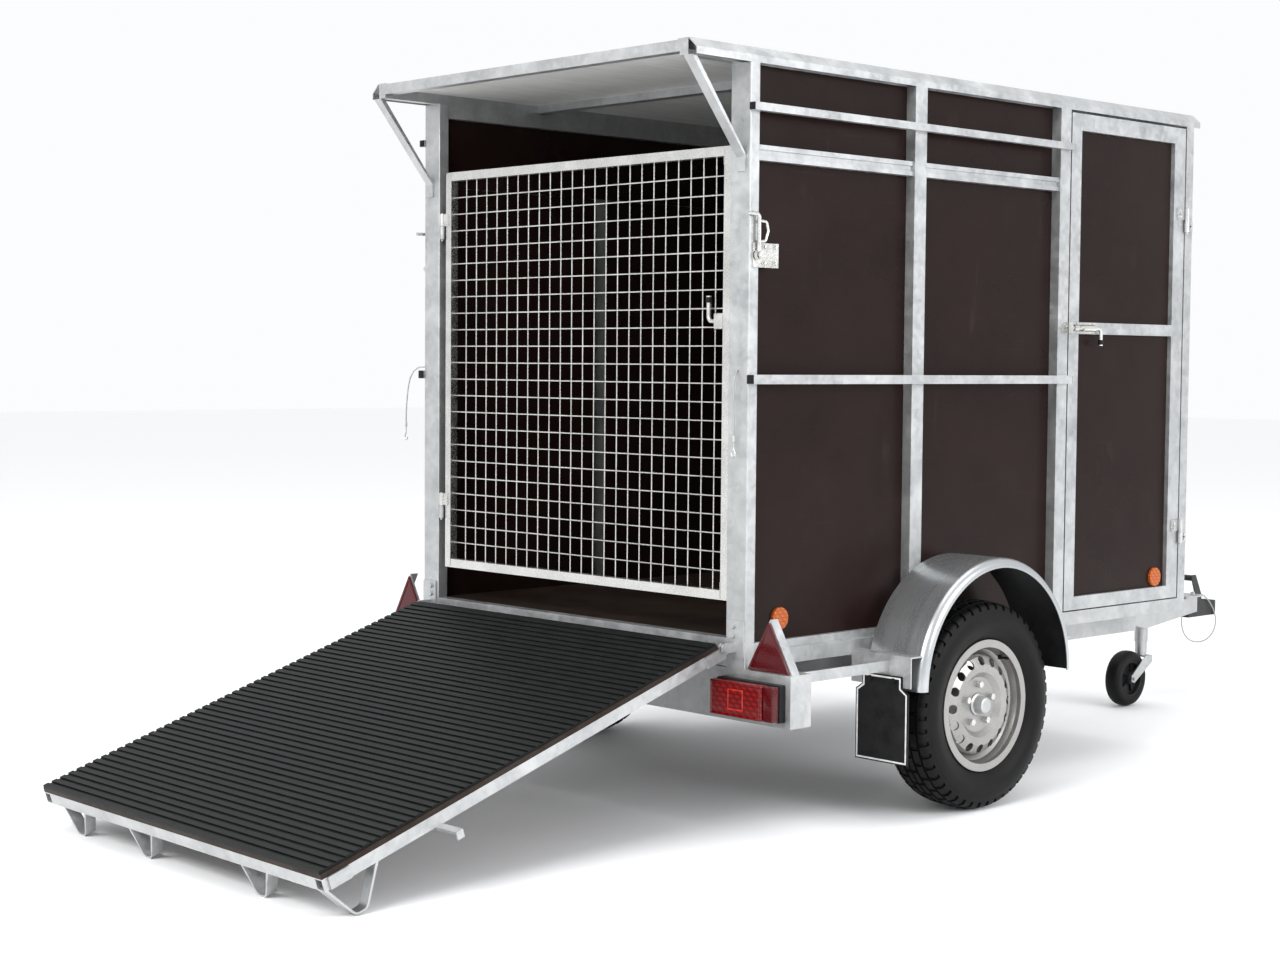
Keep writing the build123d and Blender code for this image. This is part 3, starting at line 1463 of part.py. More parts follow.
cord("catch_wire_left", left_wire, wire_diameter)
cord("catch_wire_right", right_wire, wire_diameter)
cord("breakaway_cable", cable, cable_diameter)


def wire_hook(x, station, z, way):
    """Ferrule crimped on the wire's end, carrying an open hook; way is the hook's side along X."""
    ferrule = rod((x, station, z), (x, station, z - 16), 3.6)
    with BuildPart() as hook:
        add(bent_rod([(x, station, z - 16), (x, station, z - 32), (x + 7 * way, station, z - 46),
                      (x, station, z - 60), (x - 8 * way, station, z - 46)], 1.8, 5))
    return ferrule, hook.part


wire_ends = [*wire_hook(-half - 66, -19, 1040, -1), *wire_hook(half - 39, -10.4, 1040, 1)]
write("wire_ends", *wire_ends)
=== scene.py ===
# %% [markdown]
# # A livestock trailer, finished over its CAD frame
# The trailer's steel, boards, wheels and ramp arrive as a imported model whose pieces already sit
# in their places. This lesson gives each one its finish, and models by hand the pieces whose
# shape matters to the eye: tyres, lamps, grips, wires, bolt heads and welds.

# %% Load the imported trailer
import json
import math

import bmesh
import bpy
from mathutils import Matrix, Vector


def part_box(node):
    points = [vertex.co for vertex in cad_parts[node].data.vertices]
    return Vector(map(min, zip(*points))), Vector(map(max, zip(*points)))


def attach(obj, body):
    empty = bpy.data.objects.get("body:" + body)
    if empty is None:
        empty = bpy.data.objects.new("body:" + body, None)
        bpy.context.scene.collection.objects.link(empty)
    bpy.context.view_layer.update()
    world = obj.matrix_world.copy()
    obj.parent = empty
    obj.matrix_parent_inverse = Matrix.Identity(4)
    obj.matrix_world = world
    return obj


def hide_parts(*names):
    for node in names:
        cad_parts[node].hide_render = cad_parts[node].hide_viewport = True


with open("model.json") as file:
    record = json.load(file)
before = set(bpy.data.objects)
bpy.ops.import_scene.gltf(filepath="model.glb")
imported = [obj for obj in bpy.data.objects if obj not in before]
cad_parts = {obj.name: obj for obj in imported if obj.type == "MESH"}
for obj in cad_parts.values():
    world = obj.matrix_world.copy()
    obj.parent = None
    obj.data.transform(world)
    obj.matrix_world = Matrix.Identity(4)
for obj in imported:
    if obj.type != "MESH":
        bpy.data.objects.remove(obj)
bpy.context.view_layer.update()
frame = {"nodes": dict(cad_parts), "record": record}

rear_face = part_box("rear_posts")[0][1]

# %% [markdown]
# Places are written as a workshop drawing gives them: millimetres to the right of the middle,
# millimetres forward of the rear posts, and millimetres above the ground. One helper turns them
# into Blender's metres, so every later cell can be read against a tape measure.


# %% Workshop coordinates
def at(x, station, z):
    """Point x mm right of the middle, station mm ahead of the rear posts, z mm up."""
    return Vector((x / 1000, rear_face + station / 1000, z / 1000))


print("rear posts at y =", round(rear_face, 4))

# %% [markdown]
# The camera stands behind the trailer's right rear corner at eye height, with a long lens so
# that the posts stay upright. It is made first, because the loose wires are judged by what it sees.

# %% Camera
camera_data = bpy.data.cameras.new("camera")
camera = bpy.data.objects.new("camera", camera_data)
bpy.context.scene.collection.objects.link(camera)
camera_data.sensor_width = 36
camera_data.lens = 36 * 2106 / 1280
yaw, pitch, roll = math.radians(46.69), math.radians(-3.09), math.radians(0.45)
looking = Vector((-math.sin(yaw) * math.cos(pitch), math.cos(yaw) * math.cos(pitch), math.sin(pitch)))
level = Vector((math.cos(yaw), math.sin(yaw), 0))
upright = level.cross(looking)
side = level * math.cos(roll) + upright * math.sin(roll)
over = upright * math.cos(roll) - level * math.sin(roll)
turn = Matrix((side, over, -looking)).transposed()
camera.matrix_world = Matrix.Translation(at(4388, -3877, 1224)) @ turn.to_4x4()
bpy.context.scene.camera = camera
print("lens", round(camera_data.lens, 1))

# %% [markdown]
# Every modelled piece ends the same way: its place goes into its mesh, its edges are smoothed by
# angle, it takes a finish, and it is hung on the part of the trailer that carries it.


# %% Helpers for finished pieces
def only(piece):
    """Select one piece alone and make it active."""
    if bpy.context.object and bpy.context.object.mode != "OBJECT":
        bpy.ops.object.mode_set(mode="OBJECT")
    bpy.ops.object.select_all(action="DESELECT")
    if piece:
        piece.select_set(True)
        bpy.context.view_layer.objects.active = piece
    return piece


def settle(piece, name, body, finish, angle=35):
    """Name a piece, put its place into its mesh, smooth it, paint it and let it ride."""
    only(piece)
    piece.name = name
    piece.data.name = name
    bpy.ops.object.transform_apply(location=True, rotation=True, scale=True)
    if piece.type == "MESH":
        bpy.ops.object.shade_smooth_by_angle(angle=math.radians(angle))
    piece.data.materials.clear()
    piece.data.materials.append(finish)
    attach(piece, body)
    return piece


def edit_whole():
    """Enter edit mode with everything selected."""
    bpy.ops.object.mode_set(mode="EDIT")
    bpy.ops.mesh.select_all(action="SELECT")


def join(pieces):
    """Several meshes as one piece."""
    only(pieces[0])
    for piece in pieces[1:]:
        piece.select_set(True)
    bpy.ops.object.join()
    return bpy.context.object


def copy_to(piece, matrix):
    """A copy of a piece with its own mesh, moved or turned by a matrix."""
    twin = piece.copy()
    twin.data = piece.data.copy()
    bpy.context.scene.collection.objects.link(twin)
    twin.data.transform(matrix)
    if matrix.determinant() < 0:
        twin.data.flip_normals()
    return twin


left_side = Matrix.Scale(-1, 4, (1, 0, 0))


def settle_pair(piece, label, body, finish, angle=35):
    """Settle a right-hand piece and its mirror image, and return both."""
    twin = copy_to(piece, left_side)
    return [settle(piece, f"{label}_right", body, finish, angle),
            settle(twin, f"{label}_left", body, finish, angle)]


print("helpers ready")

# %% [markdown]
# ## Finishes
# Zinc, film-faced board, rubber and lens plastic all carry some weather. Effects that several of
# them share are built once as node groups, and each finish sets its own values on them.


# %% Small tools for building node trees
def new_group(name, inputs, outputs):
    """An empty shader group with named sockets; inputs are (name, type, default)."""
    group = bpy.data.node_groups.new(name, "ShaderNodeTree")
    for label, kind, default in inputs:
        socket = group.interface.new_socket(name=label, in_out="INPUT", socket_type=kind)
        socket.default_value = default
    for label, kind in outputs:
        group.interface.new_socket(name=label, in_out="OUTPUT", socket_type=kind)
    return group, group.nodes.new("NodeGroupInput"), group.nodes.new("NodeGroupOutput")


def node(tree, kind, settings=(), **inputs):
    """Add a node, set its properties, and fill its inputs with values or links."""
    made = tree.nodes.new(kind)
    for key, value in dict(settings).items():
        setattr(made, key, value)
    for key, value in inputs.items():
        socket = made.inputs[int(key[1:])] if key[0] == "i" and key[1:].isdigit() else made.inputs[key]
        if isinstance(value, bpy.types.NodeSocket):
            tree.links.new(value, socket)
        else:
            socket.default_value = value
    return made


def math_node(tree, operation, first, second=0.5, clamp=False):
    return node(tree, "ShaderNodeMath", {"operation": operation, "use_clamp": clamp}, i0=first,
                i1=second).outputs[0]


def mix_colour(tree, factor, first, second, blend="MIX"):
    made = node(tree, "ShaderNodeMix", {"data_type": "RGBA", "blend_type": blend}, i0=factor, i6=first,
                i7=second)
    return made.outputs[2]


def object_place(tree):
    return node(tree, "ShaderNodeTexCoord").outputs["Object"]


def noise(tree, place, scale, detail, roughness=0.5):
    return node(tree, "ShaderNodeTexNoise", Vector=place, Scale=scale, Detail=detail,
                Roughness=roughness).outputs[0]


def ramp(tree, value, low, high):
    """Value stretched so that low becomes 0 and high becomes 1."""
    made = node(tree, "ShaderNodeMapRange", {}, i0=value, i1=low, i2=high, i3=0.0, i4=1.0)
    return made.outputs[0]


COLOUR, FLOAT = "NodeSocketColor", "NodeSocketFloat"
print("node tools ready")

# %% [markdown]
# Hot-dip zinc freezes into crystals, the spangle, a few centimetres across at most, each a
# slightly different grey. Cloudy white water marks lie over them. Voronoi cells give the crystals
# and two noises the clouds.

# %% Group: zinc spangle
zinc, zinc_in, zinc_out = new_group(
    "zinc_spangle",
    [("Crystal Scale", FLOAT, 70.0), ("Cloud Scale", FLOAT, 9.0), ("Contrast", FLOAT, 0.3),
     ("Dark", COLOUR, (0.3, 0.32, 0.34, 1)), ("Light", COLOUR, (0.62, 0.64, 0.65, 1))],
    [("Color", COLOUR), ("Roughness", FLOAT), ("Height", FLOAT)])
place = object_place(zinc)
wobble = node(zinc, "ShaderNodeTexNoise", Vector=place, Scale=30.0, Detail=2.0).outputs["Color"]
bent = node(zinc, "ShaderNodeMix", {"data_type": "VECTOR"}, i0=0.012, i4=place, i5=wobble).outputs[1]
crystals = node(zinc, "ShaderNodeTexVoronoi", Vector=bent, Scale=zinc_in.outputs["Crystal Scale"])
tone = node(zinc, "ShaderNodeSeparateColor", {}, i0=crystals.outputs["Color"]).outputs[0]
clouds = noise(zinc, place, zinc_in.outputs["Cloud Scale"], 5.0, 0.65)
spangle = math_node(zinc, "MULTIPLY", tone, zinc_in.outputs["Contrast"])
cloudy = ramp(zinc, clouds, 0.3, 0.72)
shade = math_node(zinc, "ADD", math_node(zinc, "MULTIPLY", cloudy, 0.7), spangle, clamp=True)
zinc.links.new(mix_colour(zinc, shade, zinc_in.outputs["Dark"], zinc_in.outputs["Light"]),
               zinc_out.inputs["Color"])
rough = math_node(zinc, "ADD", math_node(zinc, "MULTIPLY", cloudy, 0.16),
                  math_node(zinc, "MULTIPLY", tone, 0.12))
zinc.links.new(rough, zinc_out.inputs["Roughness"])
grit = noise(zinc, place, 160.0, 3.0)
zinc.links.new(math_node(zinc, "ADD", math_node(zinc, "MULTIPLY", tone, 0.25), grit),
               zinc_out.inputs["Height"])
print("zinc sockets", [socket.name for socket in zinc_out.inputs][:3])

# %% [markdown]
# Road dust gathers low down and in patches. The group mixes a pale dust into any colour by a
# noise and by height above the ground, and also reports how dusty it is, so roughness can follow.

# %% Group: road dust
dust, dust_in, dust_out = new_group(
    "road_dust",
    [("Color", COLOUR, (0.1, 0.1, 0.1, 1)), ("Dust", COLOUR, (0.34, 0.32, 0.29, 1)), ("Amount", FLOAT, 0.3),
     ("Patch Scale", FLOAT, 14.0), ("Top", FLOAT, 0.9)],
    [("Color", COLOUR), ("Mask", FLOAT)])
place = object_place(dust)
height = node(dust, "ShaderNodeSeparateXYZ", {}, i0=place).outputs[2]
low_down = math_node(dust, "SUBTRACT", 1.0, math_node(dust, "DIVIDE", height, dust_in.outputs["Top"]),
                     clamp=True)
patches = ramp(dust, noise(dust, place, dust_in.outputs["Patch Scale"], 6.0, 0.7), 0.35, 0.75)
mask = math_node(dust, "MULTIPLY", math_node(dust, "ADD", math_node(dust, "MULTIPLY", low_down, 0.7), 0.3),
                 patches)
mask = math_node(dust, "MULTIPLY", mask, dust_in.outputs["Amount"], clamp=True)
dust.links.new(mix_colour(dust, mask, dust_in.outputs["Color"], dust_in.outputs["Dust"]),
               dust_out.inputs["Color"])
dust.links.new(mask, dust_out.inputs["Mask"])
print("dust group nodes", len(dust.nodes))

# %% [markdown]
# Hair scratches and rubs show as thin stretched noise. One group makes a scratch mask from two
# noises squeezed along different axes; each finish decides how much lighter a scratch is.

# %% Group: hair scratches
scratch, scratch_in, scratch_out = new_group("hair_scratches",
                                             [("Scale", FLOAT, 6.0), ("Amount", FLOAT, 0.3)],
                                             [("Mask", FLOAT)])
place = object_place(scratch)
rows = []
for stretch, turned in (((1.0, 1.0, 40.0), (0.3, 0.2, 0.1)), ((40.0, 3.0, 1.0), (0.1, 0.5, 0.4))):
    mapped = node(scratch, "ShaderNodeMapping", {}, Vector=place, Rotation=turned, Scale=stretch).outputs[0]
    rows.append(noise(scratch, mapped, scratch_in.outputs["Scale"], 4.0))
both_rows = math_node(scratch, "MAXIMUM", *rows)
scratch.links.new(math_node(scratch, "MULTIPLY", ramp(scratch, both_rows, 0.66, 0.8),
                            scratch_in.outputs["Amount"]),
                  scratch_out.inputs["Mask"])
print("scratch group nodes", len(scratch.nodes))

# %% [markdown]
# A finish is one material: a Principled shader whose plain numbers sit on its own sockets, fed by
# the groups above for what varies over the surface.


# %% Helpers for finishes
def new_finish(name, roughness=0.5, metallic=0.0, **shader_values):
    finish = bpy.data.materials.new(name)
    finish.use_nodes = True
    tree = finish.node_tree
    shader = tree.nodes["Principled BSDF"]
    shader.inputs["Roughness"].default_value = roughness
    shader.inputs["Metallic"].default_value = metallic
    for key, value in shader_values.items():
        shader.inputs[key.replace("_", " ")].default_value = value
    return finish, tree, shader


def use_group(tree, group, **values):
    made = tree.nodes.new("ShaderNodeGroup")
    made.node_tree = group
    for key, value in values.items():
        socket = made.inputs[key.replace("_", " ")]
        if isinstance(value, bpy.types.NodeSocket):
            tree.links.new(value, socket)
        else:
            socket.default_value = value
    return made


def bump(tree, shader, height, strength, distance):
    made = node(tree, "ShaderNodeBump", {}, Strength=strength, Distance=distance, Height=height)
    tree.links.new(made.outputs[0], shader.inputs["Normal"])


def zinc_finish(name, dark, light, crystal=70.0, contrast=0.3, roughness=0.34, metallic=0.75, dirt=0.25,
                relief=0.35):
    """Galvanised, plated or painted steel in a given pair of greys."""
    finish, tree, shader = new_finish(name, roughness, metallic)
    surface_layer = use_group(tree, zinc, Crystal_Scale=crystal, Contrast=contrast, Dark=(*dark, 1),
                     Light=(*light, 1))
    dirty = use_group(tree, dust, Color=surface_layer.outputs["Color"], Amount=dirt, Top=0.8)
    tree.links.new(dirty.outputs["Color"], shader.inputs["Base Color"])
    duller = math_node(tree, "ADD", surface_layer.outputs["Roughness"], roughness - 0.08)
    tree.links.new(math_node(tree, "ADD", duller, math_node(tree, "MULTIPLY", dirty.outputs["Mask"], 0.4),
                             True),
                   shader.inputs["Roughness"])
    bump(tree, shader, surface_layer.outputs["Height"], relief, 0.0004)
    return finish


galvanised = zinc_finish("galvanised_steel", (0.34, 0.35, 0.355), (0.6, 0.61, 0.61), contrast=0.22,
                         dirt=0.15)
guard_sheet, tree, shader = new_finish("rolled_guard_sheet", 0.3, 0.85)
place = object_place(tree)
rolled = node(tree, "ShaderNodeMapping", {}, Vector=place, Scale=(30.0, 1.5, 1.5)).outputs[0]
streaks = noise(tree, rolled, 2.0, 4.0)
clouds = noise(tree, place, 7.0, 3.0)
tree.links.new(mix_colour(tree, ramp(tree, clouds, 0.3, 0.7), (0.42, 0.44, 0.45, 1),
                          (0.52, 0.535, 0.54, 1)),
               shader.inputs["Base Color"])
tree.links.new(math_node(tree, "ADD", math_node(tree, "MULTIPLY", streaks, 0.16), 0.2),
               shader.inputs["Roughness"])
bump(tree, shader, streaks, 0.05, 0.0003)
plated = zinc_finish("zinc_plated_fittings", (0.52, 0.52, 0.5), (0.8, 0.79, 0.76), crystal=240.0,
                     contrast=0.15, roughness=0.22, metallic=0.95, dirt=0.15)
coupling_black = zinc_finish("black_coupling", (0.004, 0.004, 0.0045), (0.01, 0.01, 0.0105), crystal=150.0,
                             contrast=0.1,
                     roughness=0.4, metallic=0.0, dirt=0.08)
print("zinc finishes", galvanised.name, guard_sheet.name, plated.name)

# %% [markdown]
# The walls are birch ply pressed under a dark brown phenolic film. The film is satin and nearly
# smooth, with a very fine press texture, a soft unevenness that shows in its reflections, and
# pale rubs. Bare ply edges show as thin layers. A second finish, lighter and rougher, serves the floor and
# ramp boards.


# %% Film-faced board
def board_finish(name, dark, light, roughness, dirt):
    finish, tree, shader = new_finish(name, roughness, 0.0, Specular_IOR_Level=0.1)
    place = object_place(tree)
    broad = noise(tree, place, 2.6, 5.0, 0.6)
    film = mix_colour(tree, ramp(tree, broad, 0.3, 0.7), (*dark, 1), (*light, 1))
    rubs = use_group(tree, scratch, Scale=5.0, Amount=0.05)
    rubbed = mix_colour(tree, rubs.outputs["Mask"], film, (0.2, 0.17, 0.15, 1))
    dirty = use_group(tree, dust, Color=rubbed, Dust=(0.2, 0.17, 0.145, 1), Amount=dirt, Patch_Scale=7.0,
                      Top=1.1)
    tree.links.new(dirty.outputs["Color"], shader.inputs["Base Color"])
    sheen = math_node(tree, "ADD", math_node(tree, "MULTIPLY", broad, 0.22), roughness - 0.11)
    tree.links.new(math_node(tree, "ADD", sheen, rubs.outputs["Mask"], True), shader.inputs["Roughness"])
    press = noise(tree, place, 420.0, 2.0)
    ripple = noise(tree, place, 9.0, 1.0)
    relief = math_node(tree, "ADD", math_node(tree, "MULTIPLY", press, 0.25),
                       math_node(tree, "MULTIPLY", ripple, 2.0))
    bump(tree, shader, relief, 0.25, 0.0006)
    return finish


brown_board = board_finish("film_faced_board", (0.0105, 0.0048, 0.0042), (0.0145, 0.0066, 0.0058), 0.3,
                           0.04)
deck_board = board_finish("deck_board", (0.012, 0.0075, 0.006), (0.024, 0.014, 0.01), 0.5, 0.2)
print("board finishes", brown_board.name, deck_board.name)

# %% [markdown]
# The roof is an off-white sheet. Seen from below it is faintly blotched and streaked along the
# travel direction, so a stretched noise tints it.

# %% White roof sheet
white_sheet, tree, shader = new_finish("white_roof_sheet", 0.42)
place = object_place(tree)
streaked = node(tree, "ShaderNodeMapping", {}, Vector=place, Scale=(9.0, 1.2, 4.0)).outputs[0]
streaks = noise(tree, streaked, 3.0, 6.0, 0.7)
tint = mix_colour(tree, ramp(tree, streaks, 0.35, 0.75), (0.74, 0.74, 0.72, 1), (0.58, 0.58, 0.56, 1))
tree.links.new(tint, shader.inputs["Base Color"])
peel = noise(tree, place, 220.0, 2.0)
bump(tree, shader, peel, 0.2, 0.0004)
print("roof finish", white_sheet.name)


# %% [markdown]
# Three rubbers: the ramp's mat, matt with a fine pebble and grey dust on its ribs; the tyres, darker
# and smoother; and the flap. They differ only in colour, grain and dust, so one function makes all.


# %% Rubbers and black plastic
def rubber_finish(name, colour, worn, roughness, grain, dirt, dust_colour=(0.2, 0.2, 0.2, 1)):
    finish, tree, shader = new_finish(name, roughness, 0.0, Specular_IOR_Level=0.12)
    place = object_place(tree)
    patch = noise(tree, place, 18.0, 6.0, 0.7)
    base = mix_colour(tree, ramp(tree, patch, 0.35, 0.7), (*colour, 1), (*worn, 1))
    dirty = use_group(tree, dust, Color=base, Dust=dust_colour, Amount=dirt, Patch_Scale=22.0, Top=0.7)
    tree.links.new(dirty.outputs["Color"], shader.inputs["Base Color"])
    tree.links.new(math_node(tree, "ADD", math_node(tree, "MULTIPLY", patch, 0.25), roughness - 0.12),
                   shader.inputs["Roughness"])
    pebble = noise(tree, place, grain, 3.0)
    bump(tree, shader, pebble, 0.4, 0.0005)
    return finish


mat_rubber = rubber_finish("ramp_mat_rubber", (0.0055, 0.0062, 0.006), (0.0095, 0.0105, 0.0103), 0.5, 260.0,
                           0.12, (0.045, 0.047, 0.046, 1))
tyre_rubber = rubber_finish("tyre_rubber", (0.004, 0.004, 0.0042), (0.0075, 0.0074, 0.0074), 0.48, 190.0,
                            0.12, (0.03, 0.029, 0.028, 1))
soft_rubber = rubber_finish("soft_black_rubber", (0.006, 0.006, 0.0065), (0.011, 0.011, 0.0115), 0.45,
                            300.0, 0.08)
black_plastic = rubber_finish("black_plastic", (0.007, 0.007, 0.0075), (0.012, 0.012, 0.0125), 0.38, 500.0,
                              0.08)
print("rubbers", mat_rubber.name, tyre_rubber.name)

# %% [markdown]
# The wheels are sprayed satin silver: tiny bright flakes in a warm grey, dusty near the rim.

# %% Wheel silver
wheel_silver, tree, shader = new_finish("wheel_silver", 0.36, 0.8, Coat_Weight=0.2, Coat_Roughness=0.2)
place = object_place(tree)
flakes = node(tree, "ShaderNodeTexVoronoi", Vector=place, Scale=1400.0).outputs["Color"]
flake = node(tree, "ShaderNodeSeparateColor", {}, i0=flakes).outputs[0]
sprayed = mix_colour(tree, flake, (0.27, 0.265, 0.255, 1), (0.42, 0.412, 0.4, 1))
dirty = use_group(tree, dust, Color=sprayed, Dust=(0.2, 0.185, 0.165, 1), Amount=0.2, Patch_Scale=30.0)
tree.links.new(dirty.outputs["Color"], shader.inputs["Base Color"])
tree.links.new(math_node(tree, "ADD", math_node(tree, "MULTIPLY", dirty.outputs["Mask"], 0.5), 0.33, True),
               shader.inputs["Roughness"])
peel = noise(tree, place, 350.0, 2.0)
bump(tree, shader, peel, 0.2, 0.0003)
print("wheel finish", wheel_silver.name)


# %% [markdown]
# Lens plastic is clear and coloured, moulded inside with rows of tiny prisms that catch the light
# as a grid. A checker of two wave textures stands in for the prisms: as bump, and as painted glints
# in the colour, lighter where the prisms would catch the light. Some lenses also get a faint painted glow.


# %% Moulded lenses
def lens_finish(name, deep, glint, pitch_mm, painted_glow=0.0):
    finish, tree, shader = new_finish(name, 0.2, 0.0, Specular_IOR_Level=0.3, Coat_Weight=0.15,
                                      Coat_Roughness=0.06)
    place = object_place(tree)
    wave_scale = 50 * math.pi / pitch_mm
    across_wave = node(tree, "ShaderNodeTexWave", {"bands_direction": "DIAGONAL"}, Vector=place,
                       Scale=wave_scale)
    up_wave = node(tree, "ShaderNodeTexWave", {"bands_direction": "Z"}, Vector=place, Scale=wave_scale)
    prism_relief_and_glint = math_node(tree, "MULTIPLY", across_wave.outputs[1], up_wave.outputs[1])
    # Painted glints: the colour is lighter along the prism grid, where the prisms would catch the light.
    tree.links.new(mix_colour(tree, prism_relief_and_glint, (*deep, 1), (*glint, 1)), shader.inputs["Base Color"])
    bump(tree, shader, prism_relief_and_glint, 0.1, 0.0005)
    # Painted glow: the lens is given a faint light of its own along the prism grid.
    if painted_glow:
        tree.links.new(mix_colour(tree, prism_relief_and_glint, (*deep, 1), (*glint, 1)), shader.inputs["Emission Color"])
        shader.inputs["Emission Strength"].default_value = painted_glow
    return finish


# The last value of each lens is the strength of its painted glow.
red_lens = lens_finish("red_lens", (0.09, 0.001, 0.002), (0.24, 0.004, 0.004), 6.0, 0.02)
deep_red = lens_finish("deep_red_lens", (0.055, 0.0015, 0.003), (0.1, 0.002, 0.004), 4.0)
pale_lens = lens_finish("pale_lens", (0.34, 0.012, 0.008), (0.5, 0.03, 0.018), 8.0, 0.06)
amber_lens = lens_finish("amber_lens", (0.34, 0.06, 0.003), (0.52, 0.12, 0.006), 5.0, 0.0)
print("lens finishes", red_lens.name, amber_lens.name)

# %% [markdown]
# Wire rope is a bundle of twisted strands. On a rope four millimetres thick the twist reads as
# fine slanting lines, which a diagonal wave draws as both shade and relief.

# %% Wire rope
rope_steel, tree, shader = new_finish("wire_rope", 0.35, 0.85)
place = object_place(tree)
twist = node(tree, "ShaderNodeTexWave", {"bands_direction": "DIAGONAL"}, Vector=place, Scale=110.0,
             Distortion=0.5).outputs[1]
cloud = noise(tree, place, 25.0, 3.0)
strands = mix_colour(tree, twist, (0.16, 0.165, 0.17, 1), (0.62, 0.63, 0.64, 1))
tree.links.new(mix_colour(tree, math_node(tree, "MULTIPLY", cloud, 0.4), strands, (0.4, 0.4, 0.39, 1)),
               shader.inputs["Base Color"])
bump(tree, shader, twist, 0.6, 0.0008)
print("rope finish", rope_steel.name)

# %% [markdown]
# ## Wires and cable
# Two short retaining wires hang from the rear posts and a breakaway cable loops under the
# coupling. Each is a NURBS curve through its route with a round bevel: a curve bends as evenly as
# the real wire, which a chain of cylinders never does. The hooks and ferrules on them are steel.


# %% The three wires
def wire_curve(name, route, thickness):
    """A NURBS wire along route points, ready to ride."""
    curve = bpy.data.curves.new(name, "CURVE")
    curve.dimensions = "3D"
    curve.bevel_depth = thickness / 2000
    curve.bevel_resolution = 3
    curve.resolution_u = 10
    curve.use_fill_caps = True
    spline = curve.splines.new("NURBS")
    spline.points.add(len(route) - 1)
    for point, place in zip(spline.points, route):
        point.co = (*at(*place), 1)
    spline.order_u = 3
    spline.use_endpoint_u = True
    piece = bpy.data.objects.new(name, curve)
    bpy.context.scene.collection.objects.link(piece)
    curve.materials.append(rope_steel)
    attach(piece, "trailer")
    return piece


left_route = [(-673.7, 8, 1206), (-690, 3, 1207), (-706, -3, 1203), (-719, -9, 1191), (-728, -13, 1172),
              (-733, -16, 1146), (-736, -18, 1112), (-738, -19.5, 1074), (-739, -19, 1040)]
right_route = [(636, -1.4, 1207), (636, -8, 1197), (635, -11, 1177), (633.6, -12, 1148),
               (633.3, -11, 1112), (633.6, -10, 1074), (634, -10.4, 1040)]
cable_route = [(24, 3118, 346.9), (25, 3134, 362), (30, 3160, 366), (38, 3192, 352), (43, 3228, 324),
               (46, 3256, 284), (46, 3268, 244), (43, 3252, 206), (40, 3214, 182), (38, 3164, 176),
               (40, 3112, 183), (48, 3058, 203), (62, 3008, 236), (74, 2980, 272), (78, 2974, 302.2)]
left_wire = wire_curve("left_catch_wire", left_route, 4)
right_wire = wire_curve("right_catch_wire", right_route, 4)
loop_cable = wire_curve("breakaway_loop", cable_route, 5)
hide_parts("catch_wire_left")
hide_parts("catch_wire_right")
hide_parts("breakaway_cable")
print("wires", left_wire.name, right_wire.name, loop_cable.name)

# %% [markdown]
# ## Finishes on the carried pieces
# The frame's own pieces keep their shape. The record names a material slot for each, and a table
# from slot to finish dresses most of them; the exceptions follow by name.

# %% Dress the carried pieces
finish_of_slot = {
    "galvanised_steel": galvanised, "faced_plywood": brown_board, "white_panel": white_sheet,
    "black_rubber": soft_rubber, "tyre_rubber": tyre_rubber, "silver_paint": wheel_silver,
    "black_plastic": black_plastic, "red_lens": red_lens, "amber_lens": amber_lens,
    "zinc_plate": plated, "steel_wire": rope_steel, "cast_steel": coupling_black,
}
finish_of_node = {
    "mudguards": guard_sheet, "gate_mesh": plated, "gate_frame": plated, "ramp_mat": mat_rubber,
    "floor_board": deck_board, "ramp_board": deck_board, "wire_ends": plated, "latch_plates": plated,
    "latch_lever_right": plated, "latch_lever_left": plated, "door_bolt_base": plated,
}
for entry in frame["record"]["subparts"]:
    carried = frame["nodes"][entry["node"]]
    carried.data.materials.clear()
    carried.data.materials.append(finish_of_node.get(entry["node"], finish_of_slot[entry["material_slot"]]))

# %% [markdown]
# ## Turned pieces
# Tyres, wheels, caps and knobs are all round, so one helper serves them: a circle gets as many
# points as the section needs, each point is set in place, and the spin tool turns the section
# about its axis. Doubles are merged where the turn closes, and the normals are made to agree.


# %% Turning helper
def turned(name, section, centre, steps, axis="X"):
    """Closed section of (along, radius) in millimetres, turned about an axis through centre."""
    only(None)
    bpy.ops.mesh.primitive_circle_add(vertices=len(section), radius=0.01, location=(0, 0, 0))
    piece = bpy.context.object
    piece.name = name
    ways = {"X": (Vector((1, 0, 0)), Vector((0, 0, 1))), "Y": (Vector((0, 1, 0)), Vector((0, 0, 1))),
            "Z": (Vector((0, 0, 1)), Vector((1, 0, 0)))}
    along, out = ways[axis]
    for vertex, (run, radius) in zip(piece.data.vertices, section):
        vertex.co = centre + along * run / 1000 + out * radius / 1000
    edit_whole()
    bpy.ops.mesh.spin(steps=steps, angle=2 * math.pi, center=centre, axis=along)
    bpy.ops.mesh.select_all(action="SELECT")
    bpy.ops.mesh.remove_doubles(threshold=0.00002)
    bpy.ops.mesh.normals_make_consistent(inside=False)
    bpy.ops.object.mode_set(mode="OBJECT")
    return piece


def pick_faces(piece, wanted):
    """Select the faces whose centre and normal pass a test, and leave the piece in edit mode."""
    only(piece)
    bpy.ops.object.mode_set(mode="EDIT")
    bpy.ops.mesh.select_mode(type="FACE")
    bpy.ops.mesh.select_all(action="DESELECT")
    mesh = bmesh.from_edit_mesh(piece.data)
    count = 0
    for face in mesh.faces:
        face.select_set(bool(wanted(face.calc_center_median(), face.normal)))
        count += face.select
    mesh.select_flush_mode()
    bmesh.update_edit_mesh(piece.data)
    return count


print("turning helper ready")

# %% [markdown]
# ## Road tyres
# A van-pattern tyre: four grooves run round a flat tread, the shoulders are cut into blocks, and
# the sidewall carries raised rings. The grooves and rings are in the turned section. The blocks
# are made afterwards by sinking every other shoulder face, which is quick and stays light.

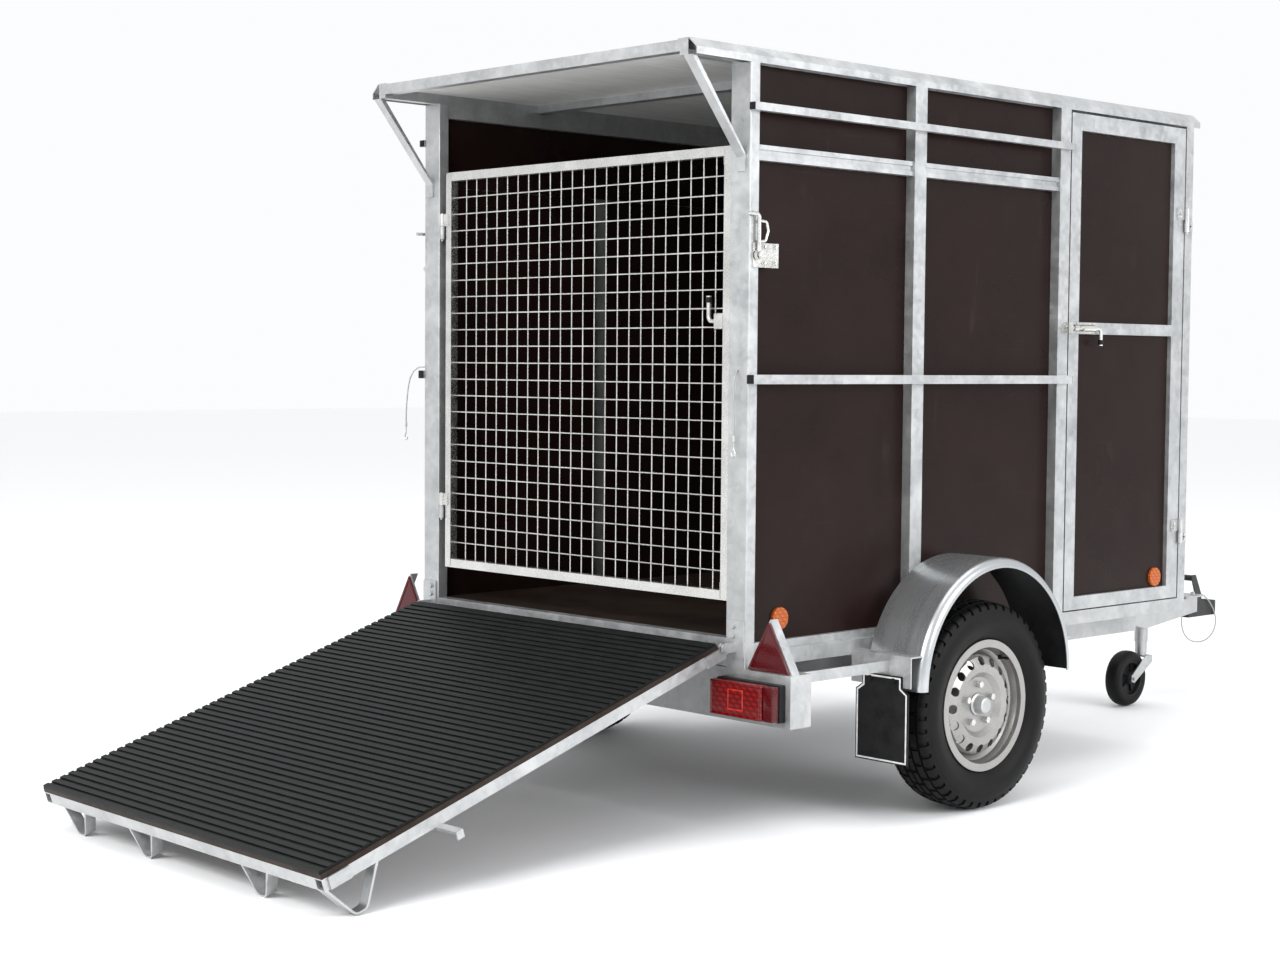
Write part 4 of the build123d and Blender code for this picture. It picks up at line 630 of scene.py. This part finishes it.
# %% Turn the right tyre
tyre_low, tyre_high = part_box("tyre_right")
wheel_centre = (tyre_low + tyre_high) / 2
section = [(-56, 182), (-57, 167), (-48, 166), (-46, 181), (-52, 192), (-66, 214), (-68, 236), (-60, 258),
           (-48, 266),
           (48, 266), (60, 258), (68, 236), (66, 214), (52, 192), (46, 181), (48, 166), (57, 167),
           (56, 182)]
crown = [(60, 187), (64, 191), (68.5, 199), (69.3, 200), (72, 209), (72.9, 210), (76.6, 224), (77.4, 232),
         (76.8, 243), (74.6, 254), (74.0, 256), (73.4, 257), (71, 266), (69, 272), (66.5, 277), (62, 280.6),
         (50.5, 284.2), (50, 277.5), (44.5, 278), (44, 285.6), (24, 287.4), (23.5, 280.5), (17.5, 280.7),
         (17, 287.9), (3, 288.5), (2.6, 283), (-2.6, 283), (-3, 288.5)]
section += crown + [(-run, radius) for run, radius in reversed(crown[:-4])]
tyre = turned("road_tyre", section, wheel_centre, 144)
print("tyre faces", len(tyre.data.polygons))

# %% [markdown]
# A tread face is recognised by its distance from the axle and how far it stands to the side. Its
# angle round the wheel then says which of the alternate faces it is.


# %% Cut the tread blocks
def round_angle(point):
    return math.degrees(math.atan2(point.z - wheel_centre.z, point.y - wheel_centre.y)) % 360


def in_block_gap(point, first, last, every, phase):
    """True for faces of the tread band between two offsets at every nth step round the tyre."""
    offset = abs(point.x - wheel_centre.x) * 1000
    away = (point - wheel_centre)
    radius = math.hypot(away.y, away.z) * 1000
    step = int(round_angle(point) / 2.5)
    return first < offset < last and radius > 262 and (step + phase) % every == 0


def sink(piece, wanted, margin, depth):
    count = pick_faces(piece, wanted)
    bpy.ops.mesh.inset(thickness=margin / 1000, depth=0)
    bpy.ops.transform.shrink_fatten(value=-depth / 1000)
    bpy.ops.object.mode_set(mode="OBJECT")
    return count


cut = sink(tyre, lambda point, normal: in_block_gap(point, 51, 72, 3, 0), 0.6, 5.5)
cut += sink(tyre, lambda point, normal: in_block_gap(point, 26, 43, 4, 1), 1.6, 4.5)
cut += sink(tyre, lambda point, normal: in_block_gap(point, 5, 16, 4, 3), 1.6, 4.5)
tyre_left_side = copy_to(tyre, left_side)
for piece, where in ((tyre, "right"), (tyre_left_side, "left")):
    settle(piece, f"road_tyre_{where}", f"wheel_{where}", tyre_rubber, 28)
    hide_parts(f"tyre_{where}")
print("tread gaps", cut)

# %% [markdown]
# ## Valves
# A rubber snap-in valve stands in the rim's well behind a vent, with a cap.

# %% Tyre valves
valve_depth, valve_radius = 0.026, 0.1535
for where, way in (("right", 1), ("left", -1)):
    low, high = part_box(f"rim_{where}")
    centre = (low + high) / 2
    face = high.x if way > 0 else low.x
    foot = Vector((face - way * valve_depth, centre.y + valve_radius * 0.6, centre.z + valve_radius * 0.8))
    stem = turned("valve", [(0, 0), (0, 6.5), (way * 5, 6.2), (way * 9, 3.6), (way * 22, 3.4),
                            (way * 22.6, 4.2), (way * 31, 4.2), (way * 32, 3.4), (way * 32, 0)], foot, 16)
    settle(stem, f"tyre_valve_{where}", f"wheel_{where}", soft_rubber)
print("valves at", [round(value, 3) for value in foot])

# %% [markdown]
# ## Jockey wheel
# A small solid rubber tyre on a black moulded hub. The CAD section is angular, so it is turned
# again with a rounded tread and a hub with a raised ring, then five ribs are pulled up on the hub.

# %% Jockey wheel
low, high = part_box("jockey_wheel")
jockey_centre = (low + high) / 2
solid_tyre = turned("jockey_tyre", [(-26, 63), (-27, 70), (-27.6, 80), (-26.4, 88), (-22, 94.5),
                                    (-14, 98.4), (-6, 99.7),
                                    (6, 99.7), (14, 98.4), (22, 94.5), (26.4, 88), (27.6, 80), (27, 70),
                                    (26, 63)],
                    jockey_centre, 72)
settle(solid_tyre, "jockey_tyre", "jockey_wheel", tyre_rubber, 40)
hub_section = [(-27.5, 6.4), (-27.5, 17), (-26, 19), (-12, 22), (-9, 24), (-8, 50), (-10, 55), (-25, 58),
               (-26.4, 60),
               (-26, 62.5), (26, 62.5), (26.4, 60), (25, 58), (10, 55), (8, 50), (9, 24), (12, 22),
               (26, 19), (27.5, 17), (27.5, 6.4)]
moulded_hub = turned("jockey_hub", hub_section, jockey_centre, 60)


def hub_rib(point, normal):
    away = point - jockey_centre
    radius = math.hypot(away.y, away.z) * 1000
    angle = math.degrees(math.atan2(away.z, away.y)) % 72
    return 24 < radius < 51 and abs(normal.x) > 0.8 and angle < 6.1


ribs = pick_faces(moulded_hub, hub_rib)
bpy.ops.mesh.extrude_region_shrink_fatten(TRANSFORM_OT_shrink_fatten={"value": 0.009})
bpy.ops.object.mode_set(mode="OBJECT")
settle(moulded_hub, "jockey_hub", "jockey_wheel", black_plastic, 30)
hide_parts("jockey_wheel")
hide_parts("jockey_wheel")
print("jockey hub ribs", ribs)

# %% [markdown]
# ## Grips and end caps
# Round plastic caps close the bolt handles and the crank has a waisted grip. All are turned.

# %% Grips and caps
bolt_low, bolt_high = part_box("gate_bolt")
cap_foot = Vector((bolt_low.x + 0.007, (bolt_low.y + bolt_high.y) / 2, bolt_high.z - 0.0178))
gate_cap = turned("gate_bolt_cap", [(0, 6.3), (0, 7.6), (2, 8.2), (12, 7.9), (16.5, 6.4), (18, 3.4),
                                    (18.2, 0), (17, 0), (16, 3), (14, 6.2)], cap_foot, 28, "Z")
settle(gate_cap, "gate_bolt_cap", "gate_bolt", black_plastic)
bolt_low, bolt_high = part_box("door_bolt")
cap_foot = Vector(((bolt_low.x + bolt_high.x) / 2, bolt_high.y - 0.007, bolt_low.z + 0.0178))
door_cap = turned("door_bolt_cap", [(0, 6.3), (0, 7.6), (-2, 8.2), (-12, 7.9), (-16.5, 6.4), (-18, 3.4),
                                    (-18.2, 0), (-17, 0), (-16, 3), (-14, 6.2)], cap_foot, 28, "Z")
settle(door_cap, "door_bolt_cap", "door_bolt", black_plastic)
crank_low, crank_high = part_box("jockey_crank")
grip_foot = Vector((crank_low.x + 0.011, (crank_low.y + crank_high.y) / 2, crank_high.z - 0.094))
crank_grip = turned("crank_grip", [(0, 11.3), (0, 13.5), (3, 14.6), (12, 13.4), (40, 12.2), (70, 13.2),
                                   (84, 14.8),
                                   (91, 13.6), (94.6, 9), (95.2, 0), (94.4, 0), (93, 8), (90, 11.3)],
                                   grip_foot, 32, "Z")
settle(crank_grip, "crank_grip", "crank", black_plastic)
print("caps and grip on", bolt_high.to_tuple(3))

# %% [markdown]
# ## Rear lamps
# Each lamp is one moulded lens clipped on a black base: a block with rounded edges whose face is
# divided by an inset border, with a raised square field in the middle, and a separate end lens.
# The block is bevelled and its face inset and pushed in; the square is a second bevelled block set on it,
# its face inset.


# %% Helper: a bevelled block between two corners
def block(name, low, high, rounding, segments=3):
    only(None)
    bpy.ops.mesh.primitive_cube_add(size=1, location=(Vector(low) + Vector(high)) / 2)
    piece = bpy.context.object
    piece.name = name
    piece.scale = Vector(high) - Vector(low)
    bpy.ops.object.transform_apply(location=True, rotation=True, scale=True)
    edit_whole()
    bpy.ops.mesh.bevel(offset=rounding / 1000, segments=segments, affect="EDGES")
    bpy.ops.object.mode_set(mode="OBJECT")
    return piece


def rear_faces(piece):
    """Test for the largest face that looks rearwards."""
    biggest = max(piece.data.polygons, key=lambda face: face.area if face.normal.y < -0.9 else 0)
    middle = biggest.center.copy()
    return lambda point, normal: normal.y < -0.9 and (point - middle).length < 0.001


print("block helper ready")

# %% [markdown]
# The measures come from the CAD lens. Only the right lamp is modelled; the left one is its mirror.

# %% Lamp lenses
base_low, base_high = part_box("lamp_bases")
lens_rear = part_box("red_lenses")[0].y
lamp_right = base_high.x - 0.003
lamp_left = base_high.x - 0.222
lamp_foot, lamp_top = base_low.z + 0.003, base_high.z - 0.003
lens_front = base_low.y
end_lens_width, lens_gap = 0.0352, 0.001
main_right = lamp_right - end_lens_width - lens_gap
main_lens = block("main_lens", (lamp_left, lens_rear, lamp_foot), (main_right, lens_front, lamp_top), 4)
pick_faces(main_lens, rear_faces(main_lens))
bpy.ops.mesh.inset(thickness=0.004, depth=-0.002)
bpy.ops.mesh.inset(thickness=0.002, depth=0.0012)
bpy.ops.object.mode_set(mode="OBJECT")
middle_x = (lamp_left + main_right) / 2
field_half, field_margin = 0.028, 0.017
field = block("lamp_field", (middle_x - field_half, lens_rear + 0.0001, lamp_foot + field_margin),
              (middle_x + field_half, lens_rear + 0.006, lamp_top - field_margin), 2.4)
pick_faces(field, rear_faces(field))
bpy.ops.mesh.inset(thickness=0.005, depth=-0.0015)
bpy.ops.object.mode_set(mode="OBJECT")
end_lens = block("end_lens", (lamp_right - end_lens_width, lens_rear + 0.004, lamp_foot),
                 (lamp_right, lens_front, lamp_top), 4)
lamp_pieces = [("lamp_lens", main_lens, red_lens), ("lamp_field", field, pale_lens),
               ("lamp_end_lens", end_lens, deep_red)]
replacing = []
for label, piece, finish in lamp_pieces:
    replacing += settle_pair(piece, label, "trailer", finish, 30)
print("lamp lens from", round(lamp_left, 3), "to", round(lamp_right, 3))

# %% [markdown]
# The warning triangles are three-sided prisms with a raised rim round the prism field. A cylinder
# with three sides is the quickest start; its rear face is inset twice and the inner part sunk.

# %% Warning triangles
tri_side = 0.146
tri_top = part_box("red_lenses")[1].z
tri_foot = tri_top - tri_side * math.sqrt(3) / 2
body_side, plate_half = 0.673, 0.075
tri_x = body_side + 0.004 + plate_half
only(None)
bpy.ops.mesh.primitive_cylinder_add(vertices=3, radius=tri_side / math.sqrt(3), depth=0.0075,
                                    location=(tri_x, rear_face + 0.00395,
                                              tri_foot + tri_side / math.sqrt(3) / 2),
                                    rotation=(math.radians(90), 0, 0))
triangle = bpy.context.object
bpy.ops.object.transform_apply(location=True, rotation=True, scale=True)
top_vertex = max(triangle.data.vertices, key=lambda vertex: vertex.co.z)
print("triangle top", round(top_vertex.co.z, 4), "wanted", round(tri_top, 4))
edit_whole()
bpy.ops.mesh.bevel(offset=0.0022, segments=2, affect="EDGES")
bpy.ops.object.mode_set(mode="OBJECT")
pick_faces(triangle, rear_faces(triangle))
bpy.ops.mesh.inset(thickness=0.006, depth=0)
bpy.ops.mesh.inset(thickness=0.0015, depth=-0.002)
bpy.ops.object.mode_set(mode="OBJECT")
replacing += settle_pair(triangle, "warning_triangle", "trailer", deep_red, 30)
for piece in replacing:
    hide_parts("red_lenses")
print("lens pieces", len(replacing))

# %% [markdown]
# ## Mudguards
# Each guard is rolled sheet: flat across the tread, then turned down over a round shoulder along its
# outer edge. The section is drawn as a closed strip and spun half a turn about the arch's centre. The
# hollow side carries painted shade: a second, thinner black strip spun the same way darkens it for
# the shadow inside the guard.

# %% Rolled mudguards
guard_low, guard_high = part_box("mudguards")
arch_radius = guard_high.z - guard_low.z
arch_centre = Vector((0, (guard_low.y + guard_high.y) / 2, guard_low.z))
guard_edge = guard_high.x
guard_inner = guard_edge - 0.19


def guard_line(depth, skirt, shoulder=0.022):
    """Points (x, radius) across the guard, sunk by depth below its outer face."""
    points = [(guard_inner, arch_radius - depth)]
    for step in range(9):
        angle = math.radians(90 - 11.25 * step)
        points.append((guard_edge - shoulder + (shoulder - depth) * math.cos(angle),
                       arch_radius - shoulder + (shoulder - depth) * math.sin(angle)))
    return points + [(guard_edge - depth, arch_radius - skirt)]


def half_turned(name, section):
    """Closed section of (x, radius) swept half a turn over the wheel."""
    only(None)
    bpy.ops.mesh.primitive_circle_add(vertices=len(section), radius=0.1, fill_type="NGON",
                                      location=(0, 0, 0))
    piece = bpy.context.object
    for vertex, (x, radius) in zip(piece.data.vertices, section):
        vertex.co = (x, arch_centre.y + radius, arch_centre.z)
    edit_whole()
    bpy.ops.mesh.spin(steps=64, angle=-math.pi, center=arch_centre, axis=(1, 0, 0))
    bpy.ops.mesh.select_all(action="SELECT")
    bpy.ops.mesh.remove_doubles(threshold=0.00001)
    bpy.ops.mesh.normals_make_consistent(inside=False)
    bpy.ops.object.mode_set(mode="OBJECT")
    return piece


shell = half_turned("guard_shell", guard_line(0, 0.0265) + guard_line(0.0025, 0.0265)[::-1])
# Painted shade: this dark inner strip stands in for the shadow inside the guard.
surface_layer = half_turned("guard_shade_liner", guard_line(0.0026, 0.026) + guard_line(0.0036, 0.026)[::-1])
top_of_shell = max(vertex.co.z for vertex in shell.data.vertices)
print("guard top", round(top_of_shell, 4), "wanted", round(guard_high.z, 4), "faces",
      len(shell.data.polygons))
# The black inner strip is painted shade.
for piece, label, finish in ((shell, "guard_shell", guard_sheet), (surface_layer, "guard_painted_shade", black_plastic)):
    for half in settle_pair(piece, label, "trailer", finish, 40):
        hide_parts("mudguards")

# %% [markdown]
# ## Mudflaps
# The flap is a rubber sheet with a stepped tab and a white printed border. The sheet is the CAD's;
# the border is a second thin loop, cut from the same outline by insetting the rear face and
# deleting what lies inside and outside the band.

# %% Mudflap borders
flap_low, flap_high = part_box("mudflaps")
flap_inner = 0.694
flap_outer = 0.874
flap_rear = at(0, 410, 0).y
outline = [(flap_inner, flap_low.z), (flap_outer, flap_low.z), (flap_outer, flap_high.z - 0.045),
           (flap_outer - 0.022, flap_high.z - 0.03), (flap_outer - 0.022, flap_high.z),
           (flap_inner + 0.022, flap_high.z), (flap_inner + 0.022, flap_high.z - 0.03),
           (flap_inner, flap_high.z - 0.045)]
only(None)
bpy.ops.mesh.primitive_circle_add(vertices=len(outline), radius=0.1, fill_type="NGON", location=(0, 0, 0))
border = bpy.context.object
for vertex, (x, z) in zip(border.data.vertices, outline):
    vertex.co = (x, flap_rear - 0.0006, z)
edit_whole()
bpy.ops.mesh.inset(thickness=0.0035, depth=0)
bpy.ops.mesh.inset(thickness=0.0045, depth=0)
bpy.ops.mesh.delete(type="FACE")
bpy.ops.mesh.select_mode(type="FACE")
bpy.ops.object.mode_set(mode="OBJECT")
points = border.data.vertices
edge_band = {face.index for face in border.data.polygons
             if any(abs(points[corner].co.x - x) < 1e-5 and abs(points[corner].co.z - z) < 1e-5
                    for corner in face.vertices for x, z in outline)}
pick_faces(border, lambda point, normal: any((point - border.data.polygons[index].center).length < 1e-5
                                             for index in edge_band))
bpy.ops.mesh.delete(type="FACE")
bpy.ops.mesh.select_all(action="SELECT")
bpy.ops.mesh.extrude_region_move(TRANSFORM_OT_translate={"value": (0, 0.0005, 0)})
bpy.ops.mesh.select_all(action="SELECT")
bpy.ops.mesh.normals_make_consistent(inside=False)
bpy.ops.object.mode_set(mode="OBJECT")
border_white, tree, shader = new_finish("white_print", 0.45)
place = object_place(tree)
fade = noise(tree, place, 60.0, 5.0)
tree.links.new(mix_colour(tree, ramp(tree, fade, 0.4, 0.75), (0.72, 0.72, 0.71, 1), (0.5, 0.5, 0.48, 1)),
               shader.inputs["Base Color"])
settle_pair(border, "flap_border", "trailer", border_white)
print("border faces", len(border.data.polygons))

# %% [markdown]
# ## Bolt heads
# A hexagon head on a washer is a six-sided cylinder whose top edge is bevelled and a thin round
# disc under it. One is modelled, pointing up, and copies are turned to each place and joined.


# %% Bolt heads
def hex_head(across_flats, height):
    only(None)
    bpy.ops.mesh.primitive_cylinder_add(vertices=6, radius=across_flats / 1732, depth=height / 1000,
                                        location=(0, 0, height / 2000 + 0.0015))
    head = bpy.context.object
    bpy.ops.object.transform_apply(location=True, rotation=True, scale=True)
    pick_faces(head, lambda point, normal: normal.z > 0.9)
    bpy.ops.mesh.bevel(offset=across_flats * 0.00009, segments=2, affect="EDGES")
    bpy.ops.object.mode_set(mode="OBJECT")
    washer = turned("washer", [(0, 0), (0, across_flats * 0.98), (0.6, across_flats * 1.0),
                               (1.5, across_flats * 1.0), (1.5, 0)], Vector((0, 0, 0)), 24, "Z")
    return join([head, washer])


def place_heads(name, pattern, spots, direction, body, finish):
    """Copies of a bolt head at several spots, all facing one way, as one piece."""
    turn_to = Vector((0, 0, 1)).rotation_difference(Vector(direction)).to_matrix().to_4x4()
    copies = [copy_to(pattern, Matrix.Translation(at(*spot)) @ turn_to) for spot in spots]
    return settle(join(copies), name, body, finish, 30)


small_head = hex_head(10, 5)
large_head = hex_head(15, 8)
plate_spots = [(677, station, z) for station in (52, 92) for z in (1479, 1521)]
place_heads("latch_bolts_right", small_head, plate_spots, (1, 0, 0), "trailer", plated)
place_heads("latch_bolts_left", small_head, [(-x, y, z) for x, y, z in plate_spots], (-1, 0, 0), "trailer",
            plated)
hinge_spots = [(677, 2022, z - drop) for z in (700, 1690) for drop in (11, 27)]
place_heads("door_hinge_bolts", small_head, hinge_spots, (1, 0, 0), "trailer", plated)
leaf_spots = [(677, 1962, z + rise) for z in (700, 1690) for rise in (9, 26)]
place_heads("door_leaf_bolts", small_head, leaf_spots, (1, 0, 0), "door", plated)
drawbar_spots = [(x, station, 369) for x in (-66, 66) for station in (2985, 3065)]
place_heads("drawbar_bolts", large_head, drawbar_spots, (0, 0, 1), "trailer", plated)
for pattern in (small_head, large_head):
    bpy.data.objects.remove(pattern, do_unlink=True)
print("bolt groups placed")

# %% [markdown]
# ## Welds
# The frame's corners are joined by short fillet welds before dipping. A weld reads as a row of
# flattened beads, so one small round ball is repeated by an array modifier along each seam.


# %% Weld beads
def weld(start, end, size=4.2):
    """A row of overlapping beads from start to end, in millimetres."""
    first, last = at(*start), at(*end)
    run = last - first
    count = max(3, int(run.length * 1000 / (size * 0.75)))
    only(None)
    bpy.ops.mesh.primitive_uv_sphere_add(segments=8, ring_count=5, radius=size / 2000, location=first)
    bead = bpy.context.object
    bpy.ops.object.transform_apply(location=True, rotation=True, scale=True)
    row = bead.modifiers.new("row", "ARRAY")
    row.count = count
    row.use_relative_offset = False
    row.use_constant_offset = True
    row.constant_offset_displace = run / (count - 1)
    bpy.ops.object.modifier_apply(modifier="row")
    return bead


seams = []
for way in (-1, 1):
    for station, width in ((652, 50), (1326, 50)):
        for z in (1172, 1196):
            seams.append(weld((way * 674, station + 3, z), (way * 674, station + width - 3, z)))
    seams.append(weld((way * 604, 1, 445), (way * 604, 1, 514), 4))
    for z in (1864, 1884):
        seams.append(weld((way * 674, 3, z), (way * 674, 32, z), 3.6))
        seams.append(weld((way * 674, 655, z), (way * 674, 698, z), 3.6))
for z in (1172, 1212):
    seams.append(weld((-630, 2031, z), (-600, 2031, z), 3.6))
    seams.append(weld((600, 2031, z), (630, 2031, z), 3.6))
settle(join(seams), "frame_welds", "trailer", galvanised, 60)
gate_seams = []
for x, way in ((-556, -1), (573, 1)):
    for z in (636, 1756):
        gate_seams.append(weld((x, 7.8, z - 20), (x, 7.8, z + 20), 3.4))
settle(join(gate_seams), "gate_welds", "gate", galvanised, 60)
print("weld rows", len(seams) + len(gate_seams))

# %% [markdown]
# ## Tube plugs
# The open ends of the two outer side rails are closed by black plastic plugs, each a square block
# with a rounded rim that stands just proud of the tube.

# %% Tube plugs
plugs = []
for way in (-1, 1):
    for size, z in ((20, 1874), (24, 1184)):
        middle = 673 + size / 2
        for rear, front in ((-6, -3), (1371, 1374)):
            edge = size / 2 - 0.6
            low = at(way * middle - edge, rear + 0.1, z - edge)
            high = at(way * middle + edge, front - 0.02, z + edge)
            plugs.append(block("plug", low, high, 1.2, 2))
settle(join(plugs), "rail_plugs", "trailer", black_plastic, 30)
print("plugs", len(plugs))

# %% [markdown]
# ## Floor and light
# A white floor with soft light from all round, a large key from the camera's left and a
# cool fill from the right. The key sits high so that the ramp and roof edge catch it.

# %% Studio
only(None)
bpy.ops.mesh.primitive_plane_add(size=80, location=(0, 0, -0.0005))
floor = bpy.context.object
floor.name = "studio_floor"
floor_paint, tree, shader = new_finish("studio_floor_paint", 0.75)
shader.inputs["Base Color"].default_value = (0.95, 0.95, 0.95, 1)
floor.data.materials.append(floor_paint)

world = bpy.data.worlds.new("studio")
bpy.context.scene.world = world
world.use_nodes = True
sky = world.node_tree.nodes["Background"]
sky.inputs["Color"].default_value = (0.97, 0.98, 1.0, 1)
sky.inputs["Strength"].default_value = 1.0
bpy.context.scene.view_settings.view_transform = "Standard"


def softbox(name, place, target, size, power, colour=(1, 1, 1)):
    lamp_data = bpy.data.lights.new(name, "AREA")
    lamp_data.shape = "RECTANGLE"
    lamp_data.size, lamp_data.size_y = size
    lamp_data.energy = power
    lamp_data.color = colour
    lamp = bpy.data.objects.new(name, lamp_data)
    bpy.context.scene.collection.objects.link(lamp)
    aim = Vector(target) - Vector(place)
    lamp.matrix_world = Matrix.Translation(place) @ aim.to_track_quat("-Z", "Y").to_matrix().to_4x4()
    return lamp


softbox("key", (1.5, -7.5, 5.0), (0, 0, 1.0), (4.0, 3.0), 420)
softbox("side_fill", (7.5, 1.5, 3.4), (0, 0.2, 0.9), (5.0, 3.0), 300, (0.97, 0.98, 1.0))
softbox("top", (0, 0, 8.0), (0, 0, 0), (7.0, 7.0), 260)
print("studio lit")
